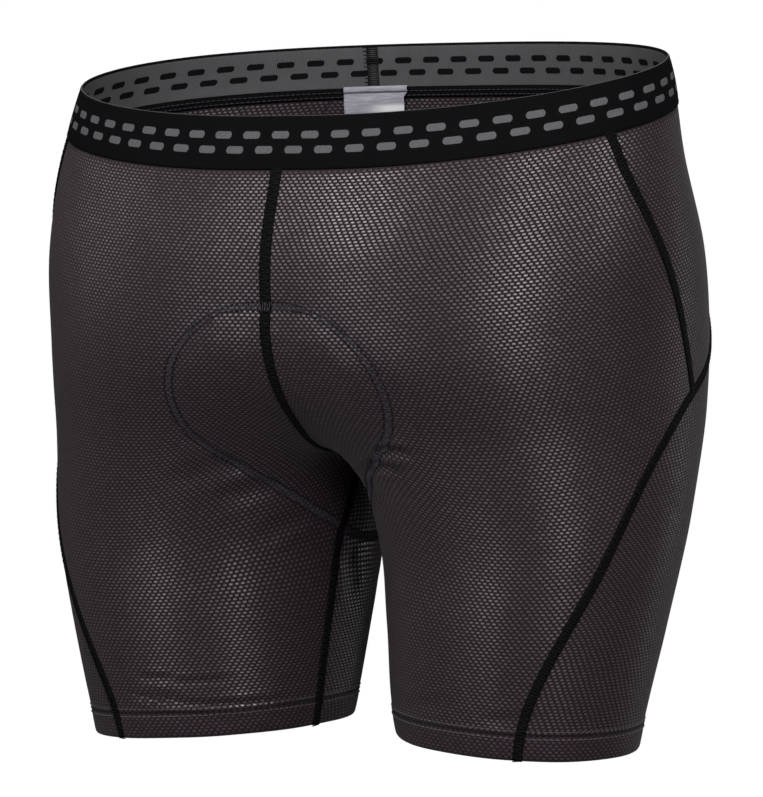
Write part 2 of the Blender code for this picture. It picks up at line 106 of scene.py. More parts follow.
# Pad outline: distance along the rise from its front end, half width there
PAD_START = 77.6
PAD_LENGTH = 320.0
PAD_RELIEF = 1.8
GROOVE_DEPTH = 0.55
GROOVE_INSET = 1.9
GROOVE_WIDTH = 1.5
BULGE_WIDTH = 27.0
PAD_WIDTHS = np.array([
    (0.0, 12.0), (2.0, 23.0), (8.0, 37.0), (19.0, 53.0), (30.0, 62.5), (42.0, 68.0), (52.0, 69.0),
    (64.0, 67.0), (74.0, 60.5), (88.0, 52.0), (107.0, 44.5), (130.0, 41.0), (148.0, 41.5),
    (160.0, 45.0), (171.0, 48.5), (185.0, 53.0), (205.0, 60.0), (230.0, 68.0), (255.0, 72.0),
    (280.0, 70.0), (298.0, 61.0), (311.0, 46.0), (318.0, 30.0), (320.0, 16.0),
])

# How far the pad pushes the cloth out along the rise: a full front over a tucked-in crotch
BULGE = np.array([
    (0.0, 0.0), (58.0, 0.0), (76.0, 1.0), (95.0, 3.0), (110.0, 4.8), (125.0, 6.6), (148.0, 8.0),
    (168.0, 8.4), (181.0, 6.4), (192.0, 2.6), (203.0, -1.4), (216.0, -3.6), (236.0, -3.4),
    (262.0, -1.4), (290.0, 0.0), (420.0, 0.0),
])

# Soft creases: start height and angle, end height and angle, bow sideways, depth, width,
# and side (1 wearer's left, -1 wearer's right, 0 both)
CREASES = np.array([
    (-337.0, -70.0, -341.0, -162.0, -4.5, 1.9, 2.2, -1),
    (-330.5, -86.0, -330.0, -106.0, 0.5, 1.1, 2.0, -1),
    (-331.0, -103.0, -329.0, -129.0, -1.0, 1.2, 2.0, -1),
    (-336.5, -88.0, -339.0, -113.0, -1.0, 0.9, 2.0, -1),
    (-331.0, -98.0, -337.0, -146.0, -4.0, 0.7, 4.0, 1),
    (-339.0, -60.0, -342.0, -92.0, -2.0, 0.5, 3.5, 1),
    (-206.0, -119.0, -204.0, -97.0, 4.0, 2.6, 2.8, 1),
    (-214.0, -133.0, -216.0, -104.0, 5.0, 2.0, 3.2, 1),
    (-226.0, -149.0, -236.0, -118.0, 5.0, 0.9, 5.5, 0),
    (-212.0, -139.0, -226.0, -98.0, 6.0, 0.8, 6.0, -1),
    (-240.0, -163.0, -258.0, -132.0, 4.0, 0.7, 5.5, -1),
    (-217.0, 172.0, -236.0, 112.0, -9.0, 2.0, 7.0, 1),
    (-220.0, 174.0, -246.0, 118.0, -8.0, 1.8, 7.0, -1),
    (-232.0, 160.0, -262.0, 96.0, -8.0, 1.5, 7.5, 1),
    (-236.0, 163.0, -268.0, 104.0, -7.0, 1.4, 8.0, -1),
    (-252.0, 150.0, -281.0, 84.0, -7.0, 1.0, 8.0, 1),
    (-256.0, 152.0, -290.0, 92.0, -6.0, 1.1, 8.0, -1),
    (-290.0, 146.0, -303.0, 70.0, -5.0, 0.9, 6.5, -1),
    (-300.0, 150.0, -309.0, 82.0, -5.0, 0.8, 6.0, 1),
    (-322.0, 140.0, -330.0, 60.0, -4.0, 1.0, 5.0, 0),
    (-336.0, 120.0, -341.0, 44.0, -3.0, 0.7, 4.0, 1),
    (-200.0, 150.0, -188.0, 104.0, 5.0, 1.0, 8.0, 0),
    (-46.0, 96.0, -74.0, 92.0, 2.0, 0.6, 6.0, 1),
    (-44.0, 112.0, -66.0, 110.0, -2.0, 0.6, 5.0, -1),
    (-42.0, 78.0, -64.0, 74.0, 2.0, 0.5, 5.0, 0),
    (-40.0, 30.0, -60.0, 27.0, 2.0, 0.4, 5.0, -1),
    (-262.0, -176.0, -300.0, -186.0, 3.0, 0.8, 6.0, 0),
    (-230.0, -192.0, -258.0, -204.0, 4.0, 1.0, 6.0, 0),
])


def ramp(value):
    """Ease from 0 to 1."""
    clipped = np.clip(value, 0.0, 1.0)
    return clipped * clipped * (3.0 - 2.0 * clipped)


def smooth_table(table, height):
    """Read a table at a height along a smooth curve through its rows."""
    rows = table[np.argsort(table[:, 0])]
    keys = rows[:, 0]
    values = rows[:, 1:]
    slopes = np.gradient(values, keys, axis=0)
    place = np.clip(np.asarray(height, float), keys[0], keys[-1])
    row = np.clip(np.searchsorted(keys, place) - 1, 0, len(keys) - 2)
    span = (keys[row + 1] - keys[row])[..., None]
    part = (place - keys[row])[..., None] / span
    low = (1 + 2 * part) * (1 - part) ** 2 * values[row] + part * (1 - part) ** 2 * span * slopes[row]
    high = part ** 2 * (3 - 2 * part) * values[row + 1] + part ** 2 * (part - 1) * span * slopes[row + 1]
    return np.moveaxis(low + high, -1, 0)


def section_point(height, angle):
    """Reach sideways before the halves join, x and y of the form at a height and an angle."""
    centre_x, centre_y, out, inn, front, back = smooth_table(SECTIONS, height)
    along = np.cos(angle)
    across = np.sin(angle)
    half_x = np.where(along >= 0, out, inn)
    half_y = np.where(across >= 0, back, front)
    power = np.where(along >= 0, OUTER_POWER, INNER_POWER)
    radius = (np.abs(along) ** power + np.abs(across) ** power) ** (-1.0 / power)
    y = centre_y + half_y * across * radius
    toe = TOE_OUT * ramp((TOE_TOP - height) / TOE_DEPTH)
    reach = centre_x + half_x * along * radius - toe * (y - centre_y)
    joined = np.sqrt(np.maximum(2 * JOIN_RADIUS * reach - JOIN_RADIUS ** 2, 0.0))
    return reach, np.where(reach >= JOIN_RADIUS, reach, joined), y


def form(points):
    """Zero on the body form, positive outside it."""
    x = np.abs(points[..., 0])
    reach = np.where(x >= JOIN_RADIUS, x, (x * x + JOIN_RADIUS ** 2) / (2 * JOIN_RADIUS))
    height = points[..., 2]
    centre_x, centre_y, out, inn, front, back = smooth_table(SECTIONS, height)
    toe = TOE_OUT * ramp((TOE_TOP - height) / TOE_DEPTH)
    side = reach - centre_x + toe * (points[..., 1] - centre_y)
    depth = points[..., 1] - centre_y
    power = np.where(side >= 0, OUTER_POWER, INNER_POWER)
    wide = np.abs(side) / np.where(side >= 0, out, inn)
    deep = np.abs(depth) / np.where(depth >= 0, back, front)
    return wide ** power + deep ** power - 1.0


def unit(vectors):
    """Vectors brought to length one."""
    return vectors / np.linalg.norm(vectors, axis=-1, keepdims=True)


def length_run(path):
    """Length run along a path at each of its points."""
    return np.concatenate([[0.0], np.cumsum(np.linalg.norm(np.diff(path, axis=0), axis=1))])


def resample(places, run, path):
    """Points of a path at places along its run."""
    return np.stack([np.interp(places, run, path[:, axis]) for axis in range(3)], -1)


def slope_of_form(points):
    """Gradient of the form by small steps."""
    step = 0.05
    parts = []
    for axis in range(3):
        shift = np.zeros(3)
        shift[axis] = step
        parts.append((form(points + shift) - form(points - shift)) / (2 * step))
    return np.stack(parts, -1)


def normals(points):
    """Outward unit normals of the form."""
    return unit(slope_of_form(points))


def onto_form(points):
    """Move points onto the form."""
    moved = np.array(points, float)
    for _ in range(5):
        slope = slope_of_form(moved)
        size = np.sum(slope * slope, axis=-1)
        moved = moved - (form(moved) / size)[..., None] * slope
    return moved


def ring_points(level, angles):
    """Points of a row: rows tilt with the waist near the top and with the hem near the bottom."""
    level = np.broadcast_to(np.asarray(level, float), angles.shape)
    waist = ramp((level - WAIST_FADE) / (-BAND_DEPTH - WAIST_FADE))
    hem = ramp((HEM_FADE - level) / (HEM_FADE - HEM_LEVEL - HEM_DEPTH))
    height = level.copy()
    for _ in range(7):
        reach, x, y = section_point(height, angles)
        tilt = WAIST_SLOPE * y + WAIST_BOW * (y / 100.0) ** 2
        height = level + waist * tilt + hem * HEM_SLOPE * (np.abs(x) - HEM_PIVOT)
    return reach, np.stack([x, y, height], -1)


ROW_LINES = {}


def row_line(level):
    """Fine line round the left half on a row: angles, points and length run."""
    if level in ROW_LINES:
        return ROW_LINES[level]
    start = math.radians(float(smooth_table(INSEAM, np.array(level))[0]))
    angles = np.linspace(start, start + 2 * math.pi, 1201)
    reach, points = ring_points(level, angles)
    if reach.min() < JOIN_RADIUS / 2:
        middle = int(np.argmin(np.abs(angles)))
        inside = reach < JOIN_RADIUS / 2
        first = middle - int(np.argmax(inside[middle::-1]))
        last = middle + int(np.argmax(inside[middle:]))
        front = np.interp(JOIN_RADIUS / 2, reach[first:first + 2], angles[first:first + 2])
        back = np.interp(-JOIN_RADIUS / 2, -reach[last - 1:last + 1], angles[last - 1:last + 1])
        angles = np.concatenate([[front], angles[first + 1:last], [back]])
        points = ring_points(level, angles)[1]
        points[0, 0] = 0.0
        points[-1, 0] = 0.0
    ROW_LINES[level] = (angles, points, length_run(points))
    return ROW_LINES[level]


def along_line(line, lengths):
    """Points of a row line at given lengths."""
    return resample(lengths, line[2], line[1])


def seam_length(line, level, table):
    """Length along a row at which a seam crosses it."""
    height = float(level)
    for _ in range(7):
        angle = math.radians(float(smooth_table(table, np.array(height))[0]))
        height = float(np.interp(angle, line[0], line[1][:, 2]))
    return float(np.interp(angle, line[0], line[2]))


def rise_curve():
    """Centre line of the body in the plane x = 0, front to back, at every millimetre."""
    heights = np.concatenate([
        np.arange(-20.0, -196.0, -8.0),
        np.array([-200.0, -204, -207.5, -210.5, -212.7, -214.3, -215.3, -215.9, -216.05]),
    ])
    lines = [row_line(float(height)) for height in heights]
    front = [line[1][0, 1:] for line in lines]
    back = [line[1][-1, 1:] for line in lines]
    bends = np.array(front + back[::-1])
    run = length_run(bends)
    fine = np.arange(0.0, run[-1], 1.0)
    curve = np.stack([np.zeros_like(fine), np.interp(fine, run, bends[:, 0]),
                      np.interp(fine, run, bends[:, 1])], -1)
    moved = onto_form(curve)
    moved[:, 0] = 0.0
    return fine, moved


RISE_RUN, RISE = rise_curve()


def pad_lift(points):
    """Distance in from the pad outline, negative outside it, and how far the pad pushes the cloth."""
    flat = points.reshape(-1, 3)
    run = np.empty(len(flat))
    width = np.empty(len(flat))
    for first in range(0, len(flat), 4000):
        part = flat[first:first + 4000]
        gaps = np.linalg.norm(part[:, None, :] - RISE[None, ::2, :], axis=2)
        nearest = np.argmin(gaps, axis=1)
        run[first:first + 4000] = RISE_RUN[::2][nearest] - PAD_START
        width[first:first + 4000] = gaps[np.arange(len(part)), nearest]
    half = np.interp(run, PAD_WIDTHS[:, 0], PAD_WIDTHS[:, 1], left=0.0, right=0.0)
    inside = np.minimum(half - width, np.minimum(run, PAD_LENGTH - run))
    bulge = smooth_table(BULGE, run + PAD_START)[0]
    bulge = bulge * np.exp(-(width / BULGE_WIDTH) ** 2) * ramp(inside / 12.0)
    lift = PAD_RELIEF * ramp((inside - 1.0) / 20.0) + bulge
    return inside.reshape(points.shape[:-1]), lift.reshape(points.shape[:-1])


def crease_line(row, side):
    """Points along a crease on one side of the body."""
    share = np.linspace(0.0, 1.0, 25)
    height = row[0] + (row[2] - row[0]) * share + row[4] * np.sin(math.pi * share)
    angle = np.radians(row[1] + (row[3] - row[1]) * share)
    x, y = section_point(height, angle)[1:]
    return np.stack([side * x, y, height], -1)


def crease_lift(points):
    """Soft troughs with low ridges beside them, in millimetres."""
    lift = np.zeros(points.shape[:-1])
    for row in CREASES:
        for side in ((1.0, -1.0) if row[7] == 0 else (row[7],)):
            line = crease_line(row, side)
            reach = 4.0 * row[6]
            near = np.all((points > line.min(0) - reach) & (points < line.max(0) + reach), axis=-1)
            if not near.any():
                continue
            gaps = np.linalg.norm(points[near][:, None, :] - line[None, :, :], axis=2)
            nearest = np.argmin(gaps, axis=1)
            share = nearest / 24.0
            taper = ramp(share / 0.35) * ramp((1.0 - share) / 0.35)
            across = gaps[np.arange(len(nearest)), nearest] / row[6]
            shape = -np.exp(-across ** 2) + 0.5 * np.exp(-((across - 1.7) / 0.75) ** 2)
            lift[near] += row[5] * taper * shape
    return lift


def dressed(points, offset=0.0):
    """Points of the form as the cloth lies: raised over the pad, creased, moved out by an offset."""
    inside, lift = pad_lift(points)
    groove = GROOVE_DEPTH * np.exp(-((inside - GROOVE_INSET) / GROOVE_WIDTH) ** 2)
    return points + normals(points) * (lift - groove + crease_lift(points) + offset)[..., None]


def mesh_item(name, vertices, faces, pairs):
    """A smooth mesh object from points in metres, faces and the cloth coordinates of their corners."""
    mesh = bpy.data.meshes.new(name)
    mesh.from_pydata(vertices.tolist(), [], faces.tolist())
    layer = mesh.uv_layers.new(name="cloth")
    layer.data.foreach_set("uv", pairs.reshape(-1).astype(np.float32))
    mesh.shade_smooth()
    mesh.update()
    item = bpy.data.objects.new(name, mesh)
    bpy.context.scene.collection.objects.link(item)
    return item


def sheet_object(name, grid, uv, closed=False, mirror=False):
    """A mesh from a grid of points in millimetres, with its cloth coordinates as UVs."""
    rows, columns = grid.shape[:2]
    vertices = grid.reshape(-1, 3) * 0.001
    corners = ((0, 0), (1, 0), (1, 1), (0, 1))
    if mirror:
        vertices = vertices * MIRROR
        corners = ((0, 0), (0, 1), (1, 1), (1, 0))
    row, column = np.meshgrid(np.arange(rows - 1), np.arange(columns if closed else columns - 1),
                              indexing="ij")
    quads = np.stack([(row + down) * columns + (column + along) % columns for down, along in corners], -1)
    pairs = np.stack([uv[row + down, column + along] for down, along in corners], 2)
    return mesh_item(name, vertices, quads.reshape(-1, 4), pairs)


def thicken(item, thickness):
    """Give a sheet its thickness, inward from the modelled face."""
    shell = item.modifiers.new("thickness", "SOLIDIFY")
    shell.thickness = thickness * 0.001
    shell.offset = -1.0
    shell.use_even_offset = False
    return item


def cloth_uv(grid, column):
    """Cloth coordinates in millimetres: along the rows from a column, and down the cloth."""
    along = np.linalg.norm(np.diff(grid, axis=1), axis=2)
    u = np.concatenate([np.zeros((len(grid), 1)), np.cumsum(along, axis=1)], axis=1)
    u = u - u[:, column:column + 1]
    direction = np.gradient(grid, axis=1)
    direction = direction / np.maximum(np.linalg.norm(direction, axis=2, keepdims=True), 1e-9)
    step = np.diff(grid, axis=0)
    sideways = np.sum(step * direction[1:], axis=2)
    down = np.sqrt(np.maximum(np.sum(step * step, axis=2) - sideways ** 2, 0.0))
    v = -np.concatenate([np.zeros((1, grid.shape[1])), np.cumsum(down, axis=0)], axis=0)
    return np.stack([u, v], -1)


def node_group(name, inputs, outputs):
    """An empty shader node group with named sockets."""
    group = bpy.data.node_groups.new(name, "ShaderNodeTree")
    for label, kind, value in inputs:
        socket = group.interface.new_socket(name=label, in_out="INPUT", socket_type=kind)
        if value is not None:
            socket.default_value = value
    for label, kind in outputs:
        group.interface.new_socket(name=label, in_out="OUTPUT", socket_type=kind)
    return group, group.nodes.new("NodeGroupInput"), group.nodes.new("NodeGroupOutput")


def maths(tree, operation, first, second=None, third=None):
    """A Math node with sockets or numbers as its inputs; returns its output."""
    node = tree.nodes.new("ShaderNodeMath")
    node.operation = operation
    for index, value in enumerate((first, second, third)):
        if value is None:
            continue
        if isinstance(value, (int, float)):
            node.inputs[index].default_value = value
        else:
            tree.links.new(value, node.inputs[index])
    return node.outputs[0]


def soft_step(tree, value, low, high):
    """Map Range from low to high, smooth, clamped to 0 to 1."""
    node = tree.nodes.new("ShaderNodeMapRange")
    node.interpolation_type = "SMOOTHSTEP"
    tree.links.new(value, node.inputs["Value"])
    node.inputs["From Min"].default_value = low
    node.inputs["From Max"].default_value = high
    return node.outputs["Result"]


def noise(tree, vector, scale, detail=2.0):
    """Noise texture factor."""
    node = tree.nodes.new("ShaderNodeTexNoise")
    tree.links.new(vector, node.inputs["Vector"])
    node.inputs["Scale"].default_value = scale
    node.inputs["Detail"].default_value = detail
    return node.outputs["Fac"]


def separated(tree, vector):
    """The x, y and z outputs of a vector."""
    node = tree.nodes.new("ShaderNodeSeparateXYZ")
    tree.links.new(vector, node.inputs[0])
    return node.outputs


# Open-mesh knit: staggered short floats of bright yarn over a dark ground with pinholes between;
# the pinholes' near-black colour is painted shade of the inside seen through them.
knit, inn, out = node_group(
    "mesh_knit",
    [("Cloth", "NodeSocketVector", None), ("Float Pitch", "NodeSocketFloat", 3.3),
     ("Row Pitch", "NodeSocketFloat", 1.78), ("Shear", "NodeSocketFloat", 0.12)],
    [("Float", "NodeSocketFloat"), ("Hole", "NodeSocketFloat"), ("Tone", "NodeSocketFloat"),
     ("Height", "NodeSocketFloat")],
)
calc = partial(maths, knit)
split = separated(knit, inn.outputs["Cloth"])
wander = noise(knit, inn.outputs["Cloth"], 0.07, 2.0)
across = calc("ADD", split["X"], calc("MULTIPLY", wander, 1.1))
down = calc("ADD", split["Y"], calc("MULTIPLY", wander, 0.7))
row = calc("DIVIDE", down, inn.outputs["Row Pitch"])
row_index = calc("FLOOR", row)
row_part = calc("SUBTRACT", calc("FRACT", row), 0.5)
odd = calc("MULTIPLY", calc("PINGPONG", row_index, 1.0), 0.5)
place = calc("ADD", calc("DIVIDE", across, inn.outputs["Float Pitch"]), odd)
place = calc("ADD", place, calc("MULTIPLY", row_part, inn.outputs["Shear"]))
cell = calc("FLOOR", place)
cell_part = calc("SUBTRACT", calc("FRACT", place), 0.5)
long_way = calc("POWER", calc("ABSOLUTE", calc("DIVIDE", cell_part, 0.34)), 2.5)
short_way = calc("POWER", calc("ABSOLUTE", calc("DIVIDE", row_part, 0.30)), 2.0)
float_mask = calc("SUBTRACT", 1.0, soft_step(knit, calc("ADD", long_way, short_way), 0.35, 1.15))
from_gap = calc("SUBTRACT", 0.5, calc("ABSOLUTE", cell_part))
gap_long = calc("POWER", calc("DIVIDE", from_gap, 0.16), 2.0)
gap_short = calc("POWER", calc("DIVIDE", row_part, 0.30), 2.0)
hole_mask = calc("SUBTRACT", 1.0, soft_step(knit, calc("ADD", gap_long, gap_short), 0.3, 1.3))
pair = knit.nodes.new("ShaderNodeCombineXYZ")
knit.links.new(cell, pair.inputs[0])
knit.links.new(row_index, pair.inputs[1])
random_cell = knit.nodes.new("ShaderNodeTexWhiteNoise")
random_cell.noise_dimensions = "2D"
knit.links.new(pair.outputs[0], random_cell.inputs["Vector"])
cloudy = noise(knit, inn.outputs["Cloth"], 0.035, 4.0)
tone = calc("ADD", calc("MULTIPLY", random_cell.outputs["Value"], 0.45), calc("MULTIPLY", cloudy, 0.55))
rise = calc("SUBTRACT", float_mask, calc("MULTIPLY", hole_mask, 0.9))
for value, label in ((float_mask, "Float"), (hole_mask, "Hole"), (tone, "Tone"), (rise, "Height")):
    knit.links.new(value, out.inputs[label])


def mixed(tree, factor, first, second):
    """Mix two colours, or a colour into a socket, by a factor socket."""
    node = tree.nodes.new("ShaderNodeMix")
    node.data_type = "RGBA"
    tree.links.new(factor, node.inputs["Factor"])
    for socket, value in ((node.inputs["A"], first), (node.inputs["B"], second)):
        if isinstance(value, tuple):
            socket.default_value = (*value, 1.0)
        else:
            tree.links.new(value, socket)
    return node.outputs["Result"]


def coloured(tree, shader, factor, first, second):
    """Colour a material between two colours, or sockets, by a factor socket."""
    tree.links.new(mixed(tree, factor, first, second), shader.inputs["Base Color"])


def fabric(name, roughness, sheen, sheen_roughness=0.4, specular=0.4):
    """A Principled cloth material; its mesh carries cloth coordinates in millimetres."""
    material = bpy.data.materials.new(name)
    material.use_nodes = True
    tree = material.node_tree
    shader = tree.nodes["Principled BSDF"]
    shader.inputs["Roughness"].default_value = roughness
    shader.inputs["Sheen Weight"].default_value = sheen
    shader.inputs["Sheen Roughness"].default_value = sheen_roughness
    shader.inputs["Specular IOR Level"].default_value = specular
    cloth = tree.nodes.new("ShaderNodeUVMap")
    cloth.uv_map = "cloth"
    return material, tree, shader, cloth.outputs["UV"]


def bumped(tree, shader, height, distance):
    """Feed a height in millimetres-per-unit to the shader as bump."""
    node = tree.nodes.new("ShaderNodeBump")
    node.inputs["Strength"].default_value = 1.0
    node.inputs["Distance"].default_value = distance * 0.001
    tree.links.new(height, node.inputs["Height"])
    tree.links.new(node.outputs["Normal"], shader.inputs["Normal"])


KNIT_GROUND = (0.0225, 0.0128, 0.0175)
KNIT_FLOAT = (0.0680, 0.0428, 0.0555)
# Pinhole colour: the holes are real openings, and their near-black is painted shade of the inside.
KNIT_HOLE_SHADE = (0.0045, 0.0028, 0.0038)


def woven(tree, group, cloth):
    """Use a weave's node group on a cloth's coordinates; returns its outputs."""
    weave = tree.nodes.new("ShaderNodeGroup")
    weave.node_tree = group
    tree.links.new(cloth, weave.inputs["Cloth"])
    return weave.outputs


def knit_material(name, glint=1.0):
    """The mesh knit; glint sets how much its floats shine, least where the cloth turns away."""
    material, tree, shader, cloth = fabric(name, 0.8, 0.10, 0.5, 0.25)
    shader.inputs["Coat Roughness"].default_value = 0.38
    shader.inputs["Coat IOR"].default_value = 2.1
    calc = partial(maths, tree)
    weave = woven(tree, knit, cloth)
    bright = calc("MULTIPLY", weave["Float"], calc("ADD", calc("MULTIPLY", weave["Tone"], 1.1), 0.15))
    colour = mixed(tree, bright, KNIT_GROUND, KNIT_FLOAT)
    coloured(tree, shader, weave["Hole"], colour, KNIT_HOLE_SHADE)
    shine = calc("ADD", calc("MULTIPLY", weave["Tone"], 1.15 * glint), 0.35 * glint)
    turned = tree.nodes.new("ShaderNodeLayerWeight")
    turned.inputs["Blend"].default_value = 0.5
    away = soft_step(tree, turned.outputs["Facing"], 0.35, 0.85)
    dim = calc("SUBTRACT", 1.0, calc("MULTIPLY", away, 0.85))
    tree.links.new(calc("MULTIPLY", calc("MULTIPLY", weave["Float"], shine), dim),
                   shader.inputs["Coat Weight"])
    bumped(tree, shader, weave["Height"], 0.11)
    return material


KNIT = knit_material("mesh_knit_cloth")

CLOTH_THICK = 0.9
CENTRE_GAP = 0.06
STRETCH = 0.9


def panel_levels():
    """Row levels from the band to the hem, closer together at the crotch."""
    upper = np.linspace(-BAND_DEPTH, CROTCH_LEVEL, 84)
    share = (upper - upper[0]) / (upper[-1] - upper[0])
    upper = upper[0] + (upper[-1] - upper[0]) * (1 - (1 - share) ** 1.45)
    drop = CROTCH_LEVEL - (HEM_LEVEL + HEM_DEPTH)
    lower = CROTCH_LEVEL - drop * np.linspace(0.0, 1.0, 82)[1:] ** 1.15
    return np.concatenate([upper[:-1], [CROTCH_LEVEL - 0.02], lower])


LEVELS = panel_levels()
LINES = [row_line(float(level)) for level in LEVELS]
FRONT_EDGE = np.array([seam_length(line, level, FRONT_SIDE_SEAM if level > JUNCTION else SLANT_SEAM)
                       for line, level in zip(LINES, LEVELS)])
SLANT_EDGE = np.array([seam_length(line, level, SLANT_SEAM) for line, level in zip(LINES, LEVELS)])
ROW_ENDS = np.array([line[2][-1] for line in LINES])


def column_shares(count, near_low=False, near_high=False):
    """Shares from 0 to 1, closer together toward the ends asked for."""
    share = np.linspace(0.0, 1.0, count)
    if near_low:
        share = 0.45 * share + 0.55 * share ** 1.7
    if near_high:
        share = 0.45 * share + 0.55 * (1 - (1 - share) ** 1.7)
    return share


CLOTH_ANGLES = np.radians(np.arange(-192.0, 181.0, 4.0))


def guide_angle(level, top, bottom):
    """Angle of an upright guide line on a panel: the cloth's lengthwise yarns run along it."""
    return math.radians(np.interp(level, (-370.0, -26.0), (bottom, top)))


def panel_grid(low, high, guide, inner_shares, outer_shares, rows):
    """Form points between two lengths on each row, either side of a guide line, and their UVs."""
    guide_lengths = [np.interp(guide_angle(LEVELS[index], *guide), LINES[index][0], LINES[index][2])
                     for index in rows]
    grid = []
    angles = []
    across = []
    for order, index in enumerate(rows):
        middle = guide_lengths[order]
        places = np.concatenate([low[index] + (middle - low[index]) * inner_shares,
                                 middle + (high[index] - middle) * outer_shares[1:]])
        grid.append(along_line(LINES[index], places))
        angles.append(np.interp(places, LINES[index][2], LINES[index][0]))
        across.append(places - middle)
    marks = np.array([resample(CLOTH_ANGLES, *LINES[index][:2]) for index in rows])
    ahead = np.gradient(marks, axis=1)
    ahead = ahead / np.maximum(np.linalg.norm(ahead, axis=2, keepdims=True), 1e-6)
    step = np.diff(marks, axis=0)
    sideways = np.sum(step * ahead[1:], axis=2)
    down = np.sqrt(np.maximum(np.sum(step * step, axis=2) - sideways ** 2, 0.0))
    down = np.concatenate([np.zeros((1, len(CLOTH_ANGLES))), np.cumsum(down, axis=0)], axis=0)
    coordinates = []
    for order, index in enumerate(rows):
        angle = guide_angle(LEVELS[index], *guide)
        at_guide = np.interp(angle, CLOTH_ANGLES, down[order])
        extra = np.interp(angles[order], CLOTH_ANGLES, down[order]) - at_guide
        held = ramp((LEVELS[index] + 310.0) / 94.0)
        coordinates.append(-(at_guide + 28.0 * np.tanh(extra / 28.0) * held))
    return np.array(grid), np.stack([np.array(across), np.array(coordinates)], -1)


def dress_panel(name, base, uv, node):
    """Left and right piece of a panel, each in place of its node."""
    pieces = []
    for side, label in ((1.0, "left"), (-1.0, "right")):
        flip = np.array([side, 1.0, 1.0])
        shaped = dressed(base * flip) * flip
        shaped[..., 0] = np.maximum(shaped[..., 0], CENTRE_GAP)
        piece = sheet_object(f"{name}_{label}", shaped, uv, mirror=side < 0)
        thicken(piece, CLOTH_THICK)
        piece.data.materials.append(KNIT)
        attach(piece, "root")
        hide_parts(f"{node}_{label}")
        cells = np.linalg.norm(np.cross(shaped[1:, :-1] - shaped[:-1, :-1],
                                        shaped[:-1, 1:] - shaped[:-1, :-1]), axis=2)
        pieces.append((piece, cells.sum() * 1e-6 * STRETCH))
    return pieces


every_row = range(len(LEVELS))
front_base, front_uv = panel_grid(np.zeros(len(LEVELS)), FRONT_EDGE, (-62.0, -106.0),
                                  column_shares(50, near_low=True), column_shares(38), every_row)
for piece, area in dress_panel("front_panel", front_base, front_uv, "front"):
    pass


# Side panels. A wedge of the same knit under each side of the band, point down where the front
# side seam meets the slanting seam; sewn in with the same flat seams.
side_rows = [index for index, level in enumerate(LEVELS) if level > JUNCTION + 1.0]
side_base, side_uv = panel_grid(FRONT_EDGE, SLANT_EDGE, (20.0, -9.0), column_shares(25),
                                column_shares(25), side_rows)
for piece, area in dress_panel("side_panel", side_base, side_uv, "side"):
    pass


# Back panels. The same knit over the seat and down the back of each thigh, wrapping forward under
# the slanting seam to the front of the hem; sewn together at the centre back.
back_base, back_uv = panel_grid(SLANT_EDGE, ROW_ENDS, (74.0, 80.0), column_shares(56),
                                column_shares(58, near_high=True), every_row)
for piece, area in dress_panel("back_panel", back_base, back_uv, "back"):
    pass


# Hems. The leg ends are turned up once inside, 14 mm deep, and held with two rows of dark
# stitching; a close row of near-black thread between them is a painted shadow for the groove
# there. The fold at the edge is soft and round.
hem_knit = knit_material("hem_knit_cloth", 0.3)
HEM_COLUMNS = 220
hem_profile = (
    (14.0, 0.05), (12.6, 0.18), (11.0, 0.32), (8.5, 0.42), (5.5, 0.48), (3.0, 0.50), (1.6, 0.42),
    (0.6, 0.0), (0.0, -0.75), (0.3, -1.45), (1.4, -1.85), (5.0, -1.9), (9.0, -1.9), (12.5, -1.8),
    (14.6, -1.5),
)


def hem_grid(side):
    """Rows of a hem from the top outside, round the fold and up inside."""
    rows = []
    for drop, offset in hem_profile:
        line = row_line(HEM_LEVEL + drop)
        ring = along_line(line, np.linspace(0.0, line[2][-1], HEM_COLUMNS + 1)[:-1])
        placed = ring * np.array([side, 1.0, 1.0])
        wave = 0.18 * np.sin(np.linspace(0, 2 * math.pi * 9, HEM_COLUMNS, endpoint=False) + side)
        wave = wave * ramp((10.0 - drop) / 10.0)
        shaped = dressed(placed)
        shaped = shaped + normals(placed) * (offset + wave)[..., None]
        rows.append(shaped * np.array([side, 1.0, 1.0]))
    return np.array(rows)


for side, label in ((1.0, "left"), (-1.0, "right")):
    grid = hem_grid(side)
    wrapped = np.concatenate([grid, grid[:, :1]], axis=1)
    uv = cloth_uv(wrapped, HEM_COLUMNS // 3)
    piece = sheet_object(f"turned_hem_{label}", grid, uv, closed=True, mirror=side < 0)
    piece.data.materials.append(hem_knit)
    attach(piece, "root")
    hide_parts(f"hem_{label}")


# Flat seams. Black covering seams 5.5 to 6.8 mm wide over every join, soft across, with threads that
# cross from edge to edge like a fine ladder. They are stitched on and stretch with the cloth.
TAPE_WIDTH = 6.8
TAPE_RISE = 0.95
TAPE_STEP = 2.0
THREAD_PITCH = 1.7
THREAD_RADIUS = 0.24
TAPE_ACROSS = np.array([-1.0, -0.96, -0.82, -0.55, -0.28, 0.0, 0.28, 0.55, 0.82, 0.96, 1.0])
TAPE_HEIGHT = np.array([-0.35, 0.45, 0.86, 0.97, 0.88, 1.0, 0.88, 0.97, 0.86, 0.45, -0.35])

seam_cloth, tree, shader, cloth = fabric("covering_seam", 0.8, 0.0, 0.5, 0.08)
split = separated(tree, cloth)
ladder = maths(tree, "SINE", maths(tree, "MULTIPLY", split["Y"], 2 * math.pi / 0.85))
lines = maths(tree, "SINE", maths(tree, "MULTIPLY", split["X"], 2 * math.pi / 1.3))
coloured(tree, shader, soft_step(tree, maths(tree, "ADD", ladder, lines), -1.0, 1.8),
         (0.0018, 0.0018, 0.0020), (0.0080, 0.0078, 0.0085))
bumped(tree, shader, maths(tree, "ADD", ladder, maths(tree, "MULTIPLY", lines, 0.6)), 0.12)

